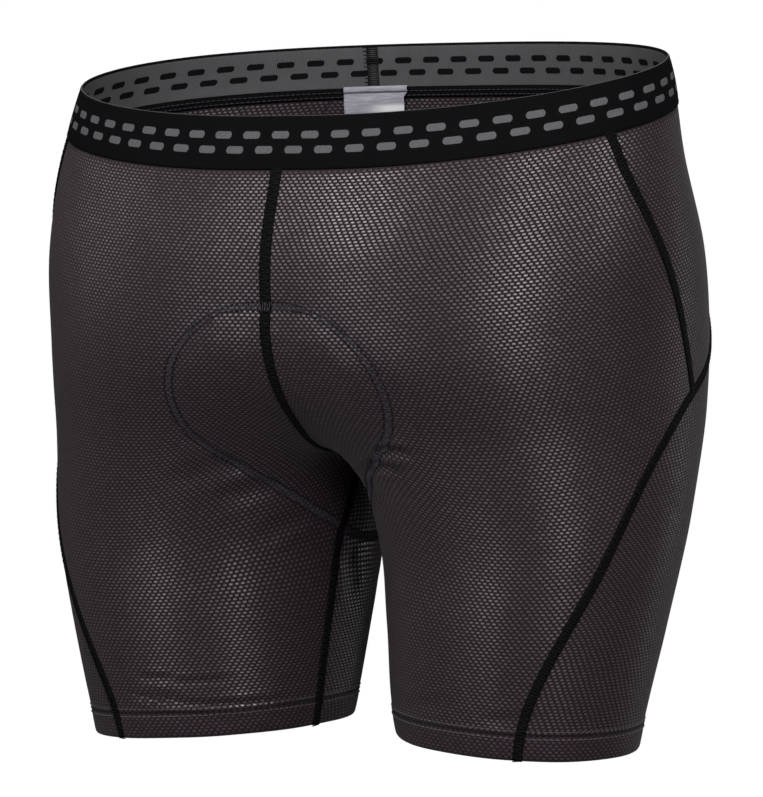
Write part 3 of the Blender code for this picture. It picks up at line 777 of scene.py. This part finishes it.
seam_thread, tree, shader, cloth = fabric("covering_thread", 0.6, 0.0, 0.5, 0.14)
twist = maths(tree, "SINE", maths(tree, "MULTIPLY", noise(tree, cloth, 1.5), 12.0))
coloured(tree, shader, soft_step(tree, twist, -1.0, 1.0), (0.0045, 0.0045, 0.0050),
         (0.0150, 0.0148, 0.0160))


def even_steps(path, step):
    """Resample a line at even steps."""
    run = length_run(path)
    count = max(2, int(round(run[-1] / step)))
    places = np.linspace(0.0, run[-1], count + 1)
    return resample(places, run, path)


def seam_path(table, top, bottom):
    """Fine line of a seam over the left half, between two levels."""
    levels = np.linspace(top, bottom, 400)
    height = levels.copy()
    for _ in range(7):
        angle = np.radians(smooth_table(table, height)[0])
        points = ring_points(levels, angle)[1]
        height = points[:, 2]
    return points


def tape_frame(path):
    """Sideways directions along a path on the form."""
    return unit(np.cross(normals(path), unit(np.gradient(path, axis=0))))


def on_cloth(points, side, offset):
    """Points of the left half moved onto the dressed cloth of one side, in left-half coordinates."""
    flip = np.array([side, 1.0, 1.0])
    placed = onto_form(points * flip)
    return dressed(placed, offset) * flip


def threads(path, sideways, side, half, pitch, lean, rises, radius=THREAD_RADIUS, over=None):
    """Bars of thread across a seam, one joined mesh: points and faces."""
    count = int(len(path) * TAPE_STEP / pitch)
    places = np.linspace(0, len(path) - 1.001, count)
    index = places.astype(int)
    part = (places - index)[:, None]
    centre = path[index] * (1 - part) + path[index + 1] * part
    across = sideways[index]
    ahead = unit(path[index + 1] - path[index])
    stations = np.linspace(-0.92, 0.92, 6)
    sway = np.where(np.arange(count) % 2 == 0, 1.0, -1.0)
    line = (centre[:, None, :] + across[:, None, :] * (stations * half)[None, :, None]
            + ahead[:, None, :] * (stations[None, :, None] * sway[:, None, None] * lean))
    placed = on_cloth(line, side, 0.0)
    up = normals(onto_form(line))
    lift = np.broadcast_to(np.interp(stations, TAPE_ACROSS, rises) + 0.02, line.shape[:2])
    if over is not None:
        lift = lift + over(line)
    spine = placed + up * lift[..., None]
    rim = []
    for turn in range(4):
        swing = turn * math.pi / 2 + math.pi / 4
        rim.append(spine + ahead[:, None, :] * (radius * 1.25 * math.cos(swing))
                   + up * (radius * math.sin(swing)))
    rim = np.stack(rim, 2)
    vertices = rim.reshape(-1, 3)
    bar, station, turn = np.meshgrid(np.arange(count), np.arange(5), np.arange(4), indexing="ij")
    first = (bar * 6 + station) * 4
    following = (turn + 1) % 4
    faces = np.stack([first + turn, first + following, first + 4 + following, first + 4 + turn], -1)
    caps = np.arange(count)[:, None] * 24
    ends = np.concatenate([caps + np.array([3, 2, 1, 0]), caps + np.array([20, 21, 22, 23])])
    return vertices, np.concatenate([faces.reshape(-1, 4), ends])


def mesh_object(name, vertices, faces, flip_x=False):
    """A joined mesh from points in millimetres, with simple cloth coordinates."""
    vertices = np.asarray(vertices)
    faces = np.asarray(faces)
    placed = vertices * 0.001
    if flip_x:
        placed = placed * MIRROR
        faces = faces[:, ::-1]
    flat = vertices[faces.reshape(-1)]
    return mesh_item(name, placed, faces, np.stack([flat[:, 0] + flat[:, 1], flat[:, 2]], -1))


def flat_seam(name, node, path, sides, width=TAPE_WIDTH, lean=0.55):
    """A covering seam along a path on one or both halves, with its threads."""
    path = even_steps(path, TAPE_STEP)
    sideways = tape_frame(path)
    half = width / 2
    for side, label in sides:
        strip = path[:, None, :] + sideways[:, None, :] * (TAPE_ACROSS * half)[None, :, None]
        placed = on_cloth(strip, side, 0.0)
        up = normals(onto_form(strip))
        grid = placed + up * (TAPE_HEIGHT * TAPE_RISE)[None, :, None]
        run = np.arange(len(path)) * TAPE_STEP
        uv = np.stack(np.broadcast_arrays((TAPE_ACROSS * half)[None, :], run[:, None]), -1)
        piece = sheet_object(f"{name}{label}", grid, uv, mirror=side < 0)
        piece.data.materials.append(seam_cloth)
        thicken(piece, 0.5)
        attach(piece, "root")
        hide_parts(f"{node}{label}")
        vertices, faces = threads(path, sideways, side, half, THREAD_PITCH, lean, TAPE_HEIGHT * TAPE_RISE)
        ladder_piece = mesh_object(f"{name}_thread{label}", vertices, faces, side < 0)
        ladder_piece.data.materials.append(seam_thread)
        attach(ladder_piece, "root")


BOTH = ((1.0, "_left"), (-1.0, "_right"))
waist_top = -BAND_DEPTH + 0.5
hem_end = HEM_LEVEL + 0.3

slant_path = seam_path(SLANT_SEAM, waist_top, hem_end)
flat_seam("slant_seam", "seam_slant", slant_path, BOTH, 5.5)

front_side_path = seam_path(FRONT_SIDE_SEAM, waist_top, JUNCTION + 1.0)
flat_seam("front_side_seam", "seam_front_side", front_side_path, BOTH, 5.8)

inseam_path = seam_path(INSEAM, -216.3, hem_end)
flat_seam("inseam", "seam_inseam", inseam_path[inseam_path[:, 0] > 2.0], BOTH, 6.0)

first = row_line(waist_top)[1][0]
last = row_line(waist_top)[1][-1]
start = int(np.argmin(np.linalg.norm(RISE - first, axis=1))) + 1
finish = int(np.argmin(np.linalg.norm(RISE - last, axis=1)))
centre_path = np.concatenate([first[None, :], RISE[start:finish], last[None, :]])
flat_seam("centre_seam", "seam_centre", centre_path, ((1.0, ""),))


# Waistband. Soft black elastic 26 mm deep, woven with fine upright ribs, black outside and grey
# inside, with two staggered rows of short dashes woven in; it is joined behind the wearer's right
# hip and sewn over the top of the cloth. One narrow row along its outer top edge takes the inside
# grey as a painted highlight on the rounded rim.
BAND_COLUMNS = 420
band_profile = (
    (-BAND_DEPTH, -1.05), (-BAND_DEPTH + 0.15, 0.25), (-BAND_DEPTH + 0.5, 0.72),
    (-BAND_DEPTH + 1.3, 0.86), (-23.2, 0.70), (-22.0, 0.86), (-18.0, 0.92),
    (-13.0, 0.95), (-8.0, 0.92), (-4.0, 0.88), (-2.9, 0.74),
    (-1.8, 0.84), (-0.9, 0.78), (-0.3, 0.45), (0.0, 0.0), (-0.25, -0.5), (-1.4, -0.95), (-2.6, -1.1),
    (-8.0, -1.12), (-13.0, -1.14), (-18.0, -1.12), (-23.0, -1.1), (-25.4, -1.1),
)


def band_ring(level, offset, columns=BAND_COLUMNS):
    """A full ring of the band at a level, moved out by an offset, from the centre front round."""
    line = row_line(level)
    left = along_line(line, np.linspace(0.0, line[2][-1], columns // 2 + 1))
    raised = left + normals(left) * offset
    raised[0, 0] = 0.0
    raised[-1, 0] = 0.0
    return np.concatenate([raised, (raised * MIRROR)[-2:0:-1]])


band_grid = np.array([band_ring(level, offset) for level, offset in band_profile])
girth = 2 * row_line(-13.0)[2][-1]
band_run = np.linspace(0.0, girth, BAND_COLUMNS + 1)
band_high = np.array([level for level, _ in band_profile])
band_uv = np.stack(np.broadcast_arrays(band_run[None, :], band_high[:, None]), -1)
waistband = sheet_object("elastic_waistband", band_grid[::-1], band_uv[::-1], closed=True)

weave_group, inn, out = node_group(
    "elastic_weave",
    [("Cloth", "NodeSocketVector", None), ("Rib Pitch", "NodeSocketFloat", 1.15)],
    [("Dash", "NodeSocketFloat"), ("Rib", "NodeSocketFloat"), ("Height", "NodeSocketFloat")],
)
calc = partial(maths, weave_group)
split = separated(weave_group, inn.outputs["Cloth"])
rib = calc("SINE", calc("MULTIPLY", calc("DIVIDE", split["X"], inn.outputs["Rib Pitch"]), 2 * math.pi))
pick = calc("SINE", calc("MULTIPLY", split["Y"], 2 * math.pi / 0.8))
DASH_PITCH = girth / 52
DASH_HALF_LONG = 5.2
DASH_HALF_HIGH = 1.75
DASH_ROWS = ((-9.4, 0.0), (-16.4, 0.5))
dash_masks = []
for height, shift in DASH_ROWS:
    place = calc("FRACT", calc("ADD", calc("DIVIDE", split["X"], DASH_PITCH), 0.5 + shift))
    long_way = calc("ABSOLUTE", calc("MULTIPLY", calc("SUBTRACT", place, 0.5), DASH_PITCH))
    past = calc("MAXIMUM", calc("SUBTRACT", long_way, DASH_HALF_LONG - DASH_HALF_HIGH), 0.0)
    high = calc("SUBTRACT", split["Y"], height)
    far = calc("SQRT", calc("ADD", calc("POWER", past, 2.0), calc("POWER", high, 2.0)))
    edge = soft_step(weave_group, far, DASH_HALF_HIGH - 0.15, DASH_HALF_HIGH + 0.15)
    dash_masks.append(calc("SUBTRACT", 1.0, edge))
dash = calc("MAXIMUM", *dash_masks)
height = calc("ADD", calc("ADD", rib, calc("MULTIPLY", pick, 0.35)), calc("MULTIPLY", dash, 0.8))
for value, label in ((dash, "Dash"), (soft_step(weave_group, rib, -1.0, 1.0), "Rib"), (height, "Height")):
    weave_group.links.new(value, out.inputs[label])


def elastic_material(name, ground, ground_light, dash_colour, roughness):
    """Woven elastic with its ribs and rows of dashes."""
    material, tree, shader, cloth = fabric(name, roughness, 0.0, 0.5, 0.06)
    weave = woven(tree, weave_group, cloth)
    base = mixed(tree, weave["Rib"], ground, ground_light)
    worn = mixed(tree, noise(tree, cloth, 0.06, 3.0), base, ground_light)
    coloured(tree, shader, weave["Dash"], worn, dash_colour)
    bumped(tree, shader, weave["Height"], 0.07)
    return material


band_outside = elastic_material("elastic_outside", (0.0020, 0.0020, 0.0024), (0.0046, 0.0046, 0.0054),
                                (0.135, 0.135, 0.142), 0.8)
band_inside = elastic_material("elastic_inside", (0.072, 0.072, 0.075), (0.125, 0.125, 0.130),
                               (0.006, 0.006, 0.007), 0.8)
waistband.data.materials.append(band_outside)
waistband.data.materials.append(band_inside)
# The inside grey on one narrow row at the outer top edge is a painted highlight on the rim.
painted_highlight_row = 13
inside_from = 16
indices = np.zeros((len(band_profile) - 1, BAND_COLUMNS), dtype=np.int32)
indices[len(band_profile) - 2 - painted_highlight_row] = 1
indices[:len(band_profile) - 1 - inside_from] = 1
waistband.data.polygons.foreach_set("material_index", indices.reshape(-1))
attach(waistband, "root")
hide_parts("waistband_left", "waistband_right")


# Inner waist strip. The cloth's raw edge and the band's lower edge are caught inside under a black
# chain-stitched strip, 6 mm deep, all round.
STRIP_COLUMNS = 300
strip_profile = ((-24.4, -1.25), (-24.8, -1.75), (-25.8, -1.95), (-27.8, -1.9), (-29.6, -1.95),
                 (-30.6, -1.7), (-31.0, -1.0))
strip_grid = np.array([band_ring(level, offset, STRIP_COLUMNS) for level, offset in strip_profile])
strip_run = np.linspace(0.0, girth, STRIP_COLUMNS + 1)
strip_high = np.array([level for level, _ in strip_profile])
strip_uv = np.stack(np.broadcast_arrays(strip_high[:, None], strip_run[None, :]), -1)
strip = sheet_object("inner_waist_strip", strip_grid, strip_uv, closed=True)
strip.data.materials.append(seam_cloth)
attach(strip, "root")


# Band join. The two ends of the elastic meet behind the wearer's right hip and are closed with close
# cross threads in black, seen inside and out; every fourth one is longer on one side.
JOIN_RUN = -54.0
JOIN_THREADS = 42
JOIN_PITCH = 0.56
zigzag_vertices = []
zigzag_faces = []


def bar(points, up, radius, flatness=0.7):
    """A thread through points with normals: four-sided, closed at both ends."""
    points = np.asarray(points, float)
    ahead = unit(np.gradient(points, axis=0))
    aside = unit(np.cross(up, ahead))
    rim = [points + aside * radius * math.cos(swing) + up * radius * flatness * math.sin(swing)
           for swing in (0.785, 2.356, 3.927, 5.498)]
    vertices = np.stack(rim, 1).reshape(-1, 3)
    faces = []
    for station in range(len(points) - 1):
        for turn in range(4):
            here = station * 4
            faces.append((here + turn, here + (turn + 1) % 4, here + 4 + (turn + 1) % 4, here + 4 + turn))
    tail = (len(points) - 1) * 4
    faces.append((3, 2, 1, 0))
    faces.append((tail, tail + 1, tail + 2, tail + 3))
    return vertices, faces


def add_bar(vertices, faces, points, up, radius, flatness=0.7):
    """Append a thread to lists of vertices and faces."""
    more, sides = bar(points, up, radius, flatness)
    first = len(vertices)
    vertices.extend(more.tolist())
    faces.extend([tuple(first + index for index in face) for face in sides])


for outward in (0.98, -1.16):
    for step in range(JOIN_THREADS):
        level = -1.2 - step * JOIN_PITCH
        line = row_line(level)
        reach = line[2][-1] + JOIN_RUN
        run = reach + np.linspace(-4.9 if step % 4 == 0 else -3.0, 3.9, 4)
        down = np.linspace(0.0, 0.5 if step % 2 else -0.5, 4)
        points = along_line(line, run)
        up = normals(points)
        points = (points + up * outward) * MIRROR
        points[:, 2] += down
        up = up * MIRROR * (1.0 if outward > 0 else -1.0)
        add_bar(zigzag_vertices, zigzag_faces, points, up, 0.36)
join = mesh_object("band_join_zigzag", zigzag_vertices, zigzag_faces)
join.data.materials.append(seam_thread)
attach(join, "root")


# Stitching. Dark polyester thread in short straight stitches: two rows round each hem with a row of
# near-black thread between as painted shadow, two rows round the pad with cover threads across,
# and two along the inner waist strip.
STITCH_LONG = 2.3
STITCH_GAP = 0.75
STITCH_RADIUS = 0.27

stitch_thread, tree, shader, cloth = fabric("stitch_thread", 0.42, 0.2, 0.5, 0.5)
coloured(tree, shader, noise(tree, cloth, 0.8), (0.045, 0.042, 0.050), (0.150, 0.142, 0.160))


def stitched(name, path, up, slot="seam", radius=STITCH_RADIUS, long=STITCH_LONG, gap=STITCH_GAP,
             material=stitch_thread):
    """Short stitches along a dense line that already lies on the cloth."""
    run = length_run(path)
    count = int(run[-1] / (long + gap))
    vertices = []
    faces = []
    sink = np.array([-0.25, 0.12, 0.2, 0.12, -0.25])
    for step in range(count):
        places = step * run[-1] / count + np.linspace(0.0, long, 5)
        lift = unit(resample(places, run, up))
        points = resample(places, run, path) + lift * sink[:, None]
        add_bar(vertices, faces, points, lift, radius)
    piece = mesh_object(name, vertices, faces)
    piece.data.materials.append(material)
    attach(piece, "root")


HEM_ROWS = (
    (1, 12.4, 0.36, {}),
    (2, 16.6, 0.08, {}),
    # Row 3 is near-black thread laid close between the two hem rows: a painted shadow for the groove.
    (3, 14.7, 0.08, {"long": 3.0, "gap": 0.15, "material": seam_thread}),
)
for side, label in BOTH:
    for number, drop, lift, yarn in HEM_ROWS:
        line = row_line(HEM_LEVEL + drop)
        ring = along_line(line, np.linspace(0.0, line[2][-1], 500)) * np.array([side, 1.0, 1.0])
        stitched(f"hem_stitch{number}{label}", dressed(ring, lift), normals(ring), **yarn)


def walk(starts, heading, distances, count):
    """Points reached by walking over the form sideways from the rise, all rows at once."""
    here = np.array(starts)
    path = [here]
    for _ in range(count):
        ahead = onto_form(here + heading * (distances / count)[:, None])
        up = normals(ahead)
        heading = ahead - here
        heading = heading - up * np.sum(heading * up, axis=1, keepdims=True)
        size = np.linalg.norm(heading, axis=1, keepdims=True)
        heading = heading / np.maximum(size, 1e-9)
        here = ahead
        path.append(here)
    return np.stack(path, 1)


def pad_outline(inset):
    """Closed line round the pad on the form, set in from its edge."""
    runs = PAD_LENGTH * (0.5 - 0.5 * np.cos(np.linspace(0.0, math.pi, 150)))
    runs = np.clip(runs, inset, PAD_LENGTH - inset)
    half = np.interp(runs, PAD_WIDTHS[:, 0], PAD_WIDTHS[:, 1]) - inset
    starts = resample(runs + PAD_START, RISE_RUN, RISE)
    side_points = walk(starts, np.tile([1.0, 0.0, 0.0], (len(runs), 1)), half, 24)
    edge = side_points[:, -1]
    front = side_points[0, :-1]
    back = side_points[-1, -2::-1]
    left = np.concatenate([front[::2], edge, back[::2]])
    loop = np.concatenate([left, (left * MIRROR)[-2:0:-1]])
    loop = even_steps(np.concatenate([loop, loop[:1]]), 1.5)[:-1]
    for _ in range(10):
        loop = 0.5 * loop + 0.25 * (np.roll(loop, 1, axis=0) + np.roll(loop, -1, axis=0))
    loop = onto_form(loop)
    return np.concatenate([loop, loop[:1]])


def over_centre(points):
    """How far the pad's stitching rises where it crosses the centre seam."""
    return (TAPE_RISE + 0.12) * ramp((4.3 - np.abs(points[..., 0])) / 0.8)


for number, inset in ((1, -0.1), (2, 4.7)):
    loop = pad_outline(inset)
    lift = 0.22 + over_centre(loop)
    stitched(f"pad_stitch{number}", dressed(loop, lift), normals(loop), radius=0.4, material=seam_thread)

loop = even_steps(pad_outline(2.3), TAPE_STEP)
vertices, faces = threads(loop, tape_frame(loop), 1.0, 2.3, 1.35, 0.3, 0.22 - 0.2 * TAPE_ACROSS ** 2, 0.2,
                          over_centre)
pad_cover = mesh_object("pad_cover_stitch", vertices, faces)
pad_thread, tree, shader, cloth = fabric("pad_thread", 0.6, 0.1, 0.5, 0.3)
coloured(tree, shader, noise(tree, cloth, 0.8), (0.020, 0.016, 0.026), (0.085, 0.068, 0.105))
pad_cover.data.materials.append(pad_thread)
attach(pad_cover, "root")

for number, level in ((1, -26.9), (2, -29.4)):
    ring = band_ring(level, 0.0, 720)
    ring = np.concatenate([ring, ring[:1]])
    up = -normals(ring)
    stitched(f"strip_stitch{number}", ring + up * 2.0, up, radius=0.3, material=pad_thread)


# Seat pad. Brushed dark knit over moulded foam, thin and flat at its stitched edge and thicker in
# a middle that channels divide so that it can bend; stitched to the inside of the cloth.
PAD_GAP = 0.35
PAD_ROWS = 150
PAD_HALF_COLUMNS = 34
runs = PAD_LENGTH * (0.35 * np.linspace(0.0, 1.0, PAD_ROWS) + 0.65 * (0.5 - 0.5 * np.cos(
    np.linspace(0.0, math.pi, PAD_ROWS))))
half = np.interp(runs, PAD_WIDTHS[:, 0], PAD_WIDTHS[:, 1])
half = np.convolve(np.pad(half, 2, mode="edge"), np.ones(5) / 5, mode="valid")
starts = resample(runs + PAD_START, RISE_RUN, RISE)
left = walk(starts, np.tile([1.0, 0.0, 0.0], (PAD_ROWS, 1)), half, PAD_HALF_COLUMNS)
pad_base = np.concatenate([(left * MIRROR)[:, :0:-1], left], axis=1)
sideways = np.linspace(-1.0, 1.0, 2 * PAD_HALF_COLUMNS + 1)[None, :] * half[:, None]
reach = np.abs(sideways)
inside = np.minimum(half[:, None] - reach, np.minimum(runs, PAD_LENGTH - runs)[:, None])

thick = 1.6 + 5.2 * ramp((inside - 4.0) / 9.0)
long_run = runs[:, None] + 0 * reach
middle = ramp((long_run - 60.0) / 40.0) * ramp((300.0 - long_run) / 30.0)
thick -= 2.6 * np.exp(-(reach / 4.5) ** 2) * middle
for channel, depth in ((78.0, 2.0), (132.0, 2.2), (196.0, 2.4), (246.0, 2.0)):
    bend = channel + 0.0035 * sideways ** 2
    thick -= depth * np.exp(-((long_run - bend) / 3.6) ** 2) * ramp((inside - 6.0) / 10.0)
thick += 1.3 * np.exp(-((np.abs(sideways) - 34.0) / 20.0) ** 2) * np.exp(-((long_run - 235.0) / 42.0) ** 2)
thick = np.maximum(thick, 1.2)

pad_up = normals(pad_base)
outer = pad_base + pad_up * (pad_lift(pad_base)[1] - CLOTH_THICK - PAD_GAP - GROOVE_DEPTH)[..., None]
inner = outer - pad_up * thick[..., None]
run_uv = np.stack([sideways, long_run], -1)
pad = sheet_object("seat_pad_cushion", inner, run_uv)
pad.data.flip_normals()
back_face = sheet_object("seat_pad_backing", outer, run_uv)
edge_grid = np.stack([np.concatenate([face[0], face[1:, -1], face[-1, -2::-1], face[-2:0:-1, 0]])
                      for face in (inner, outer)])
edge_uv = np.zeros((2, edge_grid.shape[1] + 1, 2))
edge_uv[..., 0] = np.linspace(0.0, 900.0, edge_grid.shape[1] + 1)[None, :]
edge_uv[1, :, 1] = 2.0
pad_edge = sheet_object("seat_pad_edge", edge_grid, edge_uv, closed=True)

pad_cloth, tree, shader, cloth = fabric("brushed_pad_knit", 0.85, 0.5, 0.5, 0.15)
fuzz = noise(tree, cloth, 1.6, 4.0)
broad = noise(tree, cloth, 0.05, 3.0)
brushed = maths(tree, "ADD", maths(tree, "MULTIPLY", fuzz, 0.6), maths(tree, "MULTIPLY", broad, 0.4))
coloured(tree, shader, brushed, (0.020, 0.020, 0.023), (0.060, 0.060, 0.066))
bumped(tree, shader, fuzz, 0.35)
for piece in (pad, back_face, pad_edge):
    piece.data.materials.append(pad_cloth)
bpy.ops.object.select_all(action="DESELECT")
for piece in (pad, back_face, pad_edge):
    piece.select_set(True)
bpy.context.view_layer.objects.active = pad
bpy.ops.object.join()
weld = pad.modifiers.new("weld", "WELD")
weld.merge_threshold = 0.00002
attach(pad, "root")
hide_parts("seat_pad")


# Label. Pale satin ribbon folded double under the band, a little to the wearer's right of the
# centre back; bare, with a sewn line near its top. Its colour carries painted sheen streaks, a
# painted highlight band across it and a painted shadow just under the fold.
LABEL_CENTRE = -52.0
LABEL_WIDTH = 38.5
LABEL_DROP = 26.0
FOLD_END = 3.2
label_fold = ((0.0, 2.3), (0.25, 2.85), (0.9, 3.1), (1.8, 3.1), (2.5, 2.95), (2.75, 2.7), (2.85, 2.35),
              (FOLD_END, 2.3))
label_rows = [(drop, away, 0.0) for drop, away in label_fold]
label_rows += [(drop, 2.3, (drop - FOLD_END) / (LABEL_DROP - FOLD_END))
               for drop in np.linspace(3.6, LABEL_DROP, 30)]
label_columns = 46
across = np.linspace(-1.0, 1.0, label_columns)
label_grid = []
for drop, away, share in label_rows:
    line = row_line(-24.0 - drop)
    narrow = 1.0 - 0.05 * ramp((drop - 2.8) / 4.0)
    places = line[2][-1] + LABEL_CENTRE + LABEL_WIDTH / 2 * (across * narrow - (1 - narrow))
    points = along_line(line, places)
    swell = 1.6 * math.sin(math.pi * min(1.0, share * 0.9)) * (1 - 0.35 * across ** 2)
    swell = swell + 1.1 * np.sin(across * 3.4 + 2.6 * share - 0.4) * share
    swell = swell + 0.35 * np.sin(across * 1.6 + 11.0 * share) * ramp(share / 0.2)
    corner = ramp(share / 0.15) * (1 - ramp((share - 0.15) / 0.4))
    swell = swell + 0.5 * ramp((across - 0.7) / 0.3) * corner
    label_grid.append((points - normals(points) * (away + swell)[:, None]) * MIRROR)
label_grid = np.array(label_grid)
label_drops = np.array([-drop for drop, _, _ in label_rows])
label_uv = np.stack(np.broadcast_arrays((across * LABEL_WIDTH / 2)[None, :], label_drops[:, None]), -1)
label = sheet_object("satin_label", label_grid, label_uv)
label.data.flip_normals()
thicken(label, 0.35)
satin, tree, shader, cloth = fabric("satin_ribbon", 0.26, 0.2, 0.4, 0.8)
calc = partial(maths, tree)
across, down = separated(tree, cloth)[:2]
floats = calc("SINE", calc("MULTIPLY", down, 2 * math.pi / 0.35))
# Streaks of light and dark in the base colour: painted sheen on the satin.
painted_sheen_streaks = tree.nodes.new("ShaderNodeMapping")
painted_sheen_streaks.inputs["Scale"].default_value = (0.10, 0.9, 1.0)
tree.links.new(cloth, painted_sheen_streaks.inputs["Vector"])
base = mixed(tree, noise(tree, painted_sheen_streaks.outputs["Vector"], 1.0, 3.0), (0.22, 0.21, 0.27), (0.70, 0.68, 0.76))
# A near-white band across the label, brighter toward one side: painted highlight.
painted_highlight_band = calc("SUBTRACT", soft_step(tree, down, -16.5, -12.5), soft_step(tree, down, -11.5, -9.0))
base = mixed(tree, calc("MULTIPLY", painted_highlight_band, soft_step(tree, across, -7.0, 9.0)), base, (0.98, 0.98, 1.0))
# A dark line just under the fold: painted shadow.
painted_fold_shadow = calc("SUBTRACT", soft_step(tree, down, -4.1, -3.5), soft_step(tree, down, -3.0, -2.6))
coloured(tree, shader, painted_fold_shadow, base, (0.10, 0.09, 0.12))
bumped(tree, shader, floats, 0.05)
label.data.materials.append(satin)
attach(label, "root")
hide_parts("label")
sewn = label_grid[11, 3:-3]
up = -normals(sewn)
stitched("label_stitch", sewn + up * 0.12, up, slot="label", radius=0.12, long=1.1, gap=0.7)


# Surroundings. A floor and wall in one sweep, white to the camera and dark in bounced light, nine
# soft lamps: two in front, two low strips, two at the sides, one above and two behind, and the
# camera at the photograph's angle. Its sizes are in metres.
BEND_START = 8.0
BEND_RADIUS = 2.0
HALF_WIDTH = 14.0
floor_height = float(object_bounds()[0][2]) - 0.55
turns = np.linspace(0.0, math.pi / 2, 33)
sweep = [(BEND_START + BEND_RADIUS * math.sin(turn), floor_height + BEND_RADIUS * (1 - math.cos(turn)))
         for turn in turns]
profile = [(-12.0, floor_height)] + sweep + [(BEND_START + BEND_RADIUS, floor_height + 8.0)]
vertices = [(x, y, z) for x in (-HALF_WIDTH, HALF_WIDTH) for y, z in profile]
count = len(profile)
faces = [(index, count + index, count + index + 1, index + 1) for index in range(count - 1)]
floor_mesh = bpy.data.meshes.new("pale_floor")
floor_mesh.from_pydata(vertices, [], faces)
floor_mesh.shade_smooth()
floor = bpy.data.objects.new("pale_floor", floor_mesh)
bpy.context.scene.collection.objects.link(floor)
floor.rotation_euler = (0.0, 0.0, math.radians(27.4))
floor_paint = bpy.data.materials.new("pale_floor")
floor_paint.use_nodes = True
floor_shader = floor_paint.node_tree.nodes["Principled BSDF"]
floor_shader.inputs["Base Color"].default_value = (0.07, 0.07, 0.07, 1.0)
floor_shader.inputs["Roughness"].default_value = 0.9
floor_shader.inputs["Emission Strength"].default_value = 1.0
seen = floor_paint.node_tree.nodes.new("ShaderNodeLightPath")
glow = mixed(floor_paint.node_tree, seen.outputs["Is Camera Ray"], (0.0, 0.0, 0.0), (1.0, 1.0, 1.0))
floor_paint.node_tree.links.new(glow, floor_shader.inputs["Emission Color"])
floor.data.materials.append(floor_paint)

world = bpy.data.worlds.new("pale_room")
world.use_nodes = True
background = world.node_tree.nodes["Background"]
background.inputs["Color"].default_value = (1.0, 1.0, 1.0, 1.0)
looked_at = world.node_tree.nodes.new("ShaderNodeLightPath")
strength = maths(world.node_tree, "MULTIPLY_ADD", looked_at.outputs["Is Camera Ray"], 0.94, 0.06)
world.node_tree.links.new(strength, background.inputs["Strength"])
bpy.context.scene.world = world
bpy.context.scene.view_settings.view_transform = "Standard"

AIM = Vector((0.0033, -0.008, -0.1816))


def bearing(azimuth, elevation):
    """Direction out from the shorts, by degrees from the front toward the wearer's left and up."""
    turn = math.radians(azimuth)
    rise = math.radians(elevation)
    return Vector((math.sin(turn) * math.cos(rise), -math.cos(turn) * math.cos(rise), math.sin(rise)))


def soft_lamp(name, azimuth, elevation, distance, size, power):
    """An oblong area lamp aimed at the shorts."""
    place = AIM + distance * bearing(azimuth, elevation)
    lamp = bpy.data.lights.new(name, "AREA")
    lamp.shape = "RECTANGLE"
    lamp.size = size[0]
    lamp.size_y = size[1]
    lamp.energy = power
    item = bpy.data.objects.new(name, lamp)
    item.location = place
    item.rotation_euler = (AIM - place).to_track_quat("-Z", "Y").to_euler()
    bpy.context.scene.collection.objects.link(item)


soft_lamp("lamp_left", -18.0, 38.0, 2.0, (0.45, 1.2), 13.5)
soft_lamp("lamp_right", 42.0, 25.0, 2.0, (0.4, 1.6), 11.5)
soft_lamp("strip_left", -16.0, -3.0, 2.0, (0.5, 1.4), 5.4)
soft_lamp("strip_right", 44.0, -3.0, 2.0, (0.5, 1.5), 5.2)
soft_lamp("lamp_side_right", 80.0, 30.0, 2.0, (0.5, 1.2), 8.0)
soft_lamp("lamp_side_left", -78.0, 24.0, 2.0, (0.8, 1.2), 3.2)
soft_lamp("lamp_above", 25.0, 75.0, 2.0, (1.0, 1.0), 5.5)
soft_lamp("lamp_back", 150.0, -8.0, 2.0, (0.6, 1.2), 2.6)
soft_lamp("lamp_back_high", 203.0, 46.0, 2.2, (1.4, 1.2), 11.0)

CAMERA_AZIMUTH = 27.418
CAMERA_RISE = 4.111
CAMERA_ROLL = -1.005
CAMERA_DISTANCE = 2.5286
PIXELS_DEEP = 4607.4
PHOTO_HEIGHT = 797.0
SENSOR = 36.0
camera_data = bpy.data.cameras.new("photo_camera")
camera_data.sensor_width = SENSOR
camera_data.sensor_fit = "AUTO"
camera_data.lens = PIXELS_DEEP * SENSOR / PHOTO_HEIGHT
camera = bpy.data.objects.new("photo_camera", camera_data)
turn = math.radians(CAMERA_AZIMUTH)
back = bearing(CAMERA_AZIMUTH, CAMERA_RISE)
right = Vector((math.cos(turn), math.sin(turn), 0.0))
up = back.cross(right)
roll = math.radians(CAMERA_ROLL)
right_rolled = right * math.cos(roll) + up * math.sin(roll)
up_rolled = up * math.cos(roll) - right * math.sin(roll)
matrix = Matrix((right_rolled, up_rolled, back)).transposed().to_4x4()
matrix.translation = AIM + back * CAMERA_DISTANCE
camera.matrix_world = matrix
camera_data.clip_end = 50.0
bpy.context.scene.collection.objects.link(camera)
bpy.context.scene.camera = camera
